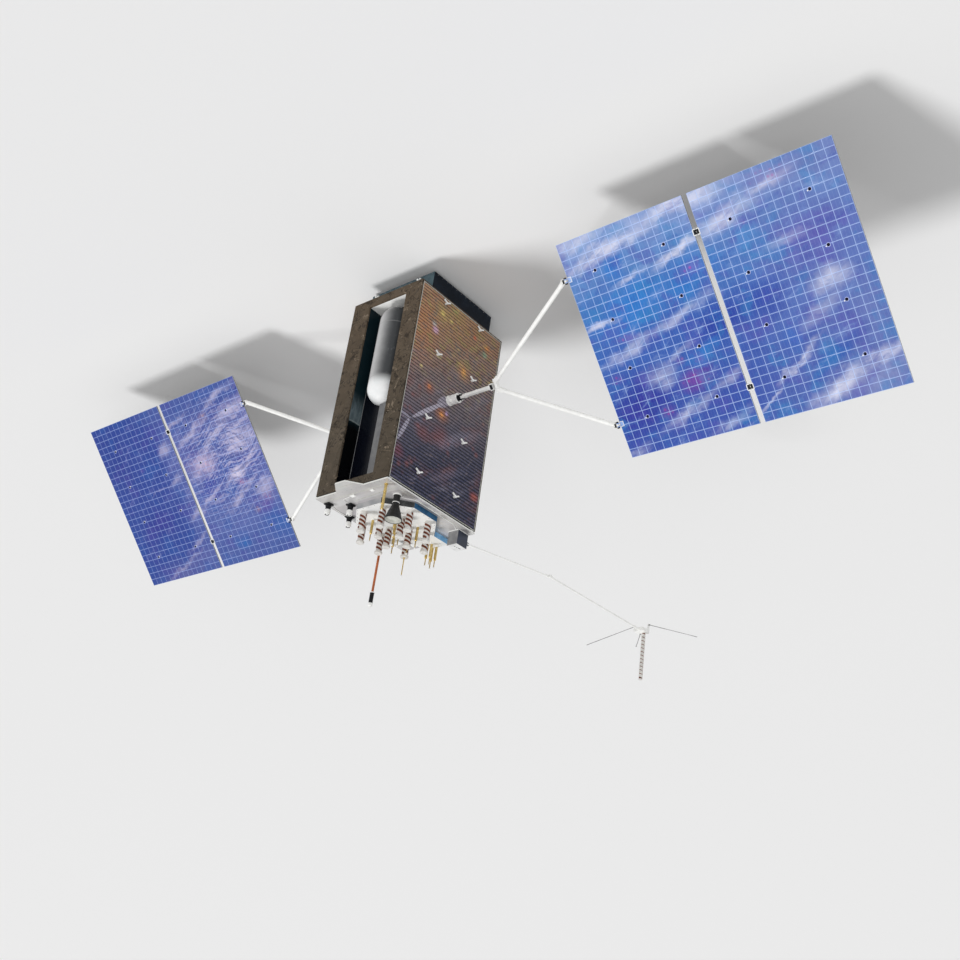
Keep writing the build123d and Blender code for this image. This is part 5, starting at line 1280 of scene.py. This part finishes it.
for k in range(8):
    first, second = radians(22.5 + 45 * k), radians(67.5 + 45 * k)
    radius = (flat - 0.02) / cos(radians(22.5))
    for share in (0.04, 0.28, 0.52, 0.76):
        x = radius * (cos(first) * (1 - share) + cos(second) * share)
        y = platform_middle + radius * (sin(first) * (1 - share) + sin(second) * share)
        rim_places.append((x, y, platform_top))
dressed(repeated("platform_bolts", rim_bolt, at(*rim_places)), steel, "bus")

# Deck: edge screws, taped seams, small covers and harness runs
screw = turned("screw", [(0.006, 0), (0.006, 0.002), (0.004, 0.0035)], 8)
screw_places = [(x, y, deck_top) for y in (-1.02, 1.02) for x in [k * 0.10 - 0.70 for k in range(15)]]
screw_places += [(x, y, deck_top) for x in (-0.762, 0.762) for y in [k * 0.10 - 0.95 for k in range(20)]]
screw_places = [(x, y, z) for x, y, z in screw_places if not (x < -0.42 and y > 0.77)]
dressed(repeated("deck_screws", screw, at(*screw_places)), steel, "bus")
seams = []
for x, y, long, wide, turn in ((0.0, -0.905, 1.50, 0.022, 0.0), (-0.25, -0.735, 0.95, 0.018, 0.06),
                               (0.70, 0.10, 0.018, 1.0, 0.0), (-0.715, 0.05, 0.018, 1.45, 0.0),
                               (0.52, 0.86, 0.42, 0.018, 0.0), (0.0, -1.15, 0.30, 0.018, 0.0)):
    seam = slab("seam", (-long / 2, -wide / 2, 0), (long / 2, wide / 2, 0.0012), 0.0005)
    seams.append(put(seam, Matrix.Translation((x, y, deck_top)) @ Matrix.Rotation(turn, 4, "Z")))
dressed(gathered("deck_seams", seams), pale_trim, "bus")
covers = []
for x, y, wide, deep, tall in ((0.60, 0.72, 0.13, 0.09, 0.030), (0.40, 0.90, 0.16, 0.10, 0.022),
                               (0.62, 0.92, 0.08, 0.08, 0.040), (0.12, -0.86, 0.09, 0.06, 0.018),
                               (-0.30, -0.86, 0.07, 0.05, 0.015)):
    cover = slab("cover", (x - wide / 2, y - deep / 2, deck_top),
                 (x + wide / 2, y + deep / 2, deck_top + tall), 0.004, 2)
    covers.append(framed(cover, 0.010, 0.0025))
dressed(gathered("deck_covers", covers), white_metal, "bus")
harness_level = deck_top + 0.006
harness_paths = (((0.66, 0.40), (0.60, 0.50), (0.60, 0.69)),
                 ((0.70, -0.28), (0.72, -0.10), (0.72, 0.62), (0.64, 0.70)),
                 ((0.70, -0.76), (0.735, -0.60), (0.735, -0.20)),
                 ((-0.55, -0.50), (-0.60, -0.40), (-0.70, -0.30), (-0.70, 0.60), (-0.60, 0.80)),
                 ((0.385, -0.70), (0.36, -0.84), (0.16, -0.86)))
runs = [pipe("run", [(x, y, harness_level) for x, y in harness_path], 0.005, 0.03, 2)
        for harness_path in harness_paths]
dressed(gathered("deck_harness", runs), white_tubes, "bus")

# Corner brackets where the deck meets the sides, with the small white tab at the rear corner
brackets = []
for x, y in ((-1, -1), (1, -1), (1, 1), (-1, 1)):
    near, far = sorted((x * (half_wide - 0.012), x * (half_wide - 0.002)))
    front, back = sorted((y * (half_deep - 0.10), y * (half_deep - 0.03)))
    brackets.append(slab("bracket", (near, front, deck_top - 0.040), (far, back, deck_top - 0.002), 0.002))
brackets.append(slab("tab", (-half_wide + 0.004, half_deep - 0.075, deck_top - 0.001),
                     (-half_wide + 0.070, half_deep - 0.004, deck_top + 0.006), 0.002))
dressed(gathered("deck_brackets", brackets), white_metal, "bus")

# Mast box: three dark slots in its top, flanges on three sides of its foot
box_low, box_high = Vector((-0.655, 0.790, deck_top)), Vector((-0.443, 1.030, deck_top + 0.250))
slot_places = ((-0.550, 0.865, 0.012), (-0.559, 0.905, 0.010), (-0.566, 0.960, 0.026))
slots = [slab("slot", (x - 0.008, y - half, box_high.z - 0.0003),
              (x + 0.008, y + half, box_high.z + 0.0009), 0.0004) for x, y, half in slot_places]
dressed(gathered("mast_box_slots", slots), black_metal, "bus")
flanges = [slab("flange", (box_low.x + 0.001, box_low.y - 0.018, deck_top),
                (box_high.x - 0.001, box_low.y, deck_top + 0.006), 0.002),
           slab("flange", (box_high.x, box_low.y + 0.001, deck_top),
                (box_high.x + 0.018, box_high.y - 0.001, deck_top + 0.006), 0.002),
           slab("flange", (box_low.x - 0.018, box_low.y + 0.001, deck_top),
                (box_low.x, box_high.y - 0.001, deck_top + 0.006), 0.002)]
dressed(gathered("mast_box_flanges", flanges), white_metal, "bus")

# Mast: sleeves on its tubes, the head's collar, stays and screws, its wound antenna
mast_level = deck_top + 0.150
outer_line = Vector((-0.05334, 0.99858, 0))
outer_side = Vector((-0.99858, -0.05334, 0))
mast_tip = Vector((-1.266, 5.085, mast_level))
inner_line = (Vector((-1.136, 2.634, 0)) - Vector((-0.643, 1.062, 0))).normalized()
inner_start = Vector((-0.643, 1.062, mast_level))
mast_tube, mast_lip = 0.0175, 0.002
sleeves = sleeves_along(inner_start, inner_line, [(0.052, 0.020, 0.0195), (0.80, 0.012, 0.0195),
                                                  (1.560, 0.020, 0.0195)], mast_tube, mast_lip, 20)
dressed(gathered("mast_inner_sleeves", sleeves), drive_paint, "mast_inner")
outer_start = mast_tip - outer_line * 2.42
sleeves = sleeves_along(outer_start, outer_line, [(0.020, 0.020, 0.0195), (0.80, 0.012, 0.0195),
                                                  (1.60, 0.012, 0.0195), (2.385, 0.032, 0.0195)],
                        mast_tube, mast_lip, 20)
dressed(gathered("mast_outer_sleeves", sleeves), drive_paint, "mast_outer")
head_rows = Matrix((outer_line, outer_side, (0, 0, 1))).transposed().to_4x4()
head_place = Matrix.Translation(mast_tip) @ head_rows
head_screw = turned("screw", [(0.005, 0), (0.005, 0.003), (0.003, 0.004)], 8)
head_parts = [slab("collar", (0.070, -0.015, 0.034), (0.170, 0.085, 0.040), 0.003, 2)]
for lean, depth in ((-1, 0.030), (1, 0.170)):
    head_parts.append(slab("stay", (depth - 0.020, lean * 0.060 - 0.003, -0.034),
                           (depth + 0.020, lean * 0.060 + 0.003, -0.026), 0.001))
    for drop in (-0.045, -0.065):
        head_parts.append(put(copied(head_screw), aimed((depth, lean * 0.100, drop), (0, lean, 0))))
head_parts.append(repeated("screws", head_screw,
                           at(*[(along, across, 0.035) for along in (0.015, 0.185)
                                for across in (-0.085, 0.0, 0.085)])))
head_trim = put(gathered("mast_head_trim", head_parts), head_place)
dressed(head_trim, drive_paint, "mast_outer")
helix_low, helix_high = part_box("mast_helix")[:2]
helix_tall = helix_high.z - helix_low.z
helix_place = Matrix.Translation(((helix_low.x + helix_high.x) / 2, (helix_low.y + helix_high.y) / 2,
                                  helix_low.z))
core = turned("mast_helix_core", [(0.0300, 0.004), (0.0300, helix_tall - 0.004)], 24)
dressed(put(core, helix_place), helix_brown, "mast_outer", ["mast_helix"])
wrap = spiral("mast_helix_wrap", 0.0300, 0.014, helix_tall - 0.014, 12.5, 0.054, 0.0058, 20, -1)
dressed(put(wrap, helix_place), helix_white, "mast_outer")
ends = [turned("end", [(0.034, 0.0), (0.034, 0.014), (0.0295, 0.018)], 24),
        turned("end", [(0.0295, helix_tall - 0.018), (0.034, helix_tall - 0.014), (0.034, helix_tall),
                       (0.008, helix_tall)], 24)]
dressed(put(gathered("mast_helix_ends", ends), helix_place), helix_white, "mast_outer")

# Bay: a grey strip up the far corner, feed pipes in clips along the near wall
bay_strip = slab("bay_corner_strip", (0.394, -0.7625, bay_floor + 0.01), (0.404, -0.7565, 3.96), 0.001)
dressed(bay_strip, duct_paint, "bus")
feeds = [pipe("feed", [(-0.36, -0.80, 0.62), (-0.36, -0.80, 2.60), (-0.20, -0.80, 2.66),
                       (-0.20, -0.80, 3.90)], 0.009, 0.05),
         pipe("feed", [(-0.395, -0.82, 0.62), (-0.395, -0.82, 3.90)], 0.007, 0)]
dressed(gathered("bay_pipes", feeds), steel, "bus")
clips = [slab("clip", (-0.375, -0.812, z - 0.010), (-0.345, -0.757, z + 0.010), 0.002)
         for z in (0.9, 1.3, 1.7, 2.1, 2.5)]
clips += [slab("clip", (-0.408, -0.830, z - 0.010), (-0.382, -0.757, z + 0.010), 0.002)
          for z in (0.8, 1.2, 1.6, 2.0, 2.4, 2.8, 3.2, 3.6)]
dressed(gathered("bay_clips", clips), duct_paint, "bus")

# Blanket studs on the front frame and the rear panel, with tapes over the rear panel's seams
stud = turned("stud", [(0.010, 0), (0.010, 0.0015), (0.007, 0.003), (0.003, 0.0038)], 12)
stud_levels = [0.56 + 0.296 * k for k in range(13)]
front_studs = [aimed((x, -half_deep, z), (0, -1, 0)) for z in stud_levels
               for x in (-0.73, -0.50, 0.46, 0.73)]
front_studs += [aimed((x, -half_deep, z), (0, -1, 0)) for x in (-0.28, -0.02, 0.24) for z in (0.50, 4.04)]
rear_studs = [aimed((x, half_deep, z), (0, 1, 0)) for z in stud_levels
              for x in (-0.70, -0.35, 0.0, 0.35, 0.70)]
dressed(repeated("blanket_studs", stud, front_studs + rear_studs), stud_paint, "bus")
tapes = [slab("tape", (x - 0.012, half_deep - 0.0005, side_low + 0.01),
              (x + 0.012, half_deep + 0.0012, side_high - 0.01), 0.0004)
         for x in (-0.765, -0.26, 0.26, 0.765)]
tapes += [slab("tape", (-0.76, half_deep - 0.0005, z - 0.010), (0.76, half_deep + 0.0012, z + 0.010),
               0.0004) for z in (1.35, 2.25, 3.15)]
dressed(gathered("rear_tapes", tapes), tape, "bus")

# Aft end: ring bolts, skirt rivets, hoops on the engine's bell, thruster valves
ring_bolt = turned("bolt", [(0.011, 0), (0.011, 0.007), (0.009, 0.009), (0.004, 0.009)], 6)
ring_places = [(0.581 * cos(k * pi / 24), 0.581 * sin(k * pi / 24), 0.048) for k in range(48)]
turned_down = [Matrix.Translation(place) @ Matrix.Rotation(pi, 4, "X") for place in ring_places]
dressed(repeated("ring_bolts", ring_bolt, turned_down), steel, "bus")
rivet = turned("rivet", [(0.007, 0), (0.007, 0.002), (0.004, 0.004)], 8)
skirt_half_x, skirt_half_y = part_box("aft_skirt")[1].x, 0.75
rivet_row = [k * 0.12 - 0.66 for k in range(12)]
rivet_places = [aimed((x, y * skirt_half_y, z), (0, y, 0)) for y in (-1, 1) for z in (0.085, 0.395)
                for x in rivet_row]
rivet_places += [aimed((x * skirt_half_x, y, z), (x, 0, 0)) for x in (-1, 1) for z in (0.085, 0.395)
                 for y in rivet_row]
dressed(repeated("skirt_rivets", rivet, rivet_places), steel, "bus")
hoops = [turned("hoop", [(radius, z - 0.003), (radius + 0.005, z - 0.002), (radius + 0.005, z + 0.002),
                         (radius - 0.001, z + 0.003)], 48)
         for radius, z in ((0.1565, 0.079), (0.1485, 0.106), (0.1335, 0.140), (0.1160, 0.175))]
dressed(gathered("bell_hoops", hoops), steel, "bus")
valves = []
for x, y in ((0.34, -0.98), (-0.62, -0.98), (-0.34, 0.98), (0.62, 0.98)):
    valves.append(slab("valve", (x - 0.030, y - 0.030, aft_level - 0.008),
                       (x + 0.030, y + 0.030, aft_level), 0.003, 2))
    valves.append(slab("valve", (x - 0.018, y - 0.026, aft_level - 0.034),
                       (x + 0.018, y + 0.026, aft_level - 0.006), 0.004, 2))
dressed(gathered("thruster_valves", valves), steel, "bus")

# Stage, light and camera
bpy.ops.object.select_all(action="DESELECT")
bpy.ops.mesh.primitive_circle_add(vertices=96, radius=260, fill_type="NGON", location=(0, 0, -0.004))
floor = fresh("studio_floor")
floor_finish = Finish("studio_floor_paint", 0.9)
floor_finish.colour(paint(0.93, 0.93, 0.93))
floor.data.materials.append(floor_finish.material)

world = bpy.data.worlds.new("studio")
bpy.context.scene.world = world
world.use_nodes = True
tree = world.node_tree
tree.nodes.clear()
path = tree.nodes.new("ShaderNodeLightPath")
fill = tree.nodes.new("ShaderNodeBackground")
fill.inputs["Color"].default_value = (1, 1, 1, 1)
fill.inputs["Strength"].default_value = 0.40
seen = tree.nodes.new("ShaderNodeBackground")
seen.inputs["Color"].default_value = (0.88, 0.88, 0.88, 1)
seen.inputs["Strength"].default_value = 1.0
shows = path.outputs["Is Camera Ray"]
for ray in ("Is Glossy Ray", "Is Transmission Ray"):
    either = tree.nodes.new("ShaderNodeMath")
    either.operation = "MAXIMUM"
    tree.links.new(shows, either.inputs[0])
    tree.links.new(path.outputs[ray], either.inputs[1])
    shows = either.outputs[0]
mix = tree.nodes.new("ShaderNodeMixShader")
tree.links.new(shows, mix.inputs[0])
tree.links.new(fill.outputs[0], mix.inputs[1])
tree.links.new(seen.outputs[0], mix.inputs[2])
out = tree.nodes.new("ShaderNodeOutputWorld")
tree.links.new(mix.outputs[0], out.inputs["Surface"])

for name, direction, strength, spread in (
    ("key", Vector((-0.42, 0.22, -0.88)), 1.50, 14),
    ("camera_side_fill", Vector((0.60, 0.65, -0.47)), 0.90, 40),
):
    lamp = bpy.data.lights.new(name, "SUN")
    lamp.energy = strength
    lamp.angle = radians(spread)
    holder = bpy.data.objects.new(name, lamp)
    bpy.context.scene.collection.objects.link(holder)
    holder.rotation_euler = direction.to_track_quat("-Z", "Y").to_euler()

sensor_width, focal_pixels, frame_pixels = 36, 1303.9, 960
camera = bpy.data.cameras.new("photo_view")
camera.lens = sensor_width * focal_pixels / frame_pixels
camera.sensor_width = sensor_width
camera.clip_start = 0.1
camera.clip_end = 800
eye = bpy.data.objects.new("photo_view", camera)
bpy.context.scene.collection.objects.link(eye)
right = Vector((-0.76666, 0.62987, -0.1245))
up = Vector((-0.21358, -0.43305, -0.8757))
view_turn = Matrix((right, up, right.cross(up))).transposed().to_4x4()
eye.matrix_world = Matrix.Translation((-13.721, -12.7937, 13.1638)) @ view_turn
bpy.context.scene.camera = eye
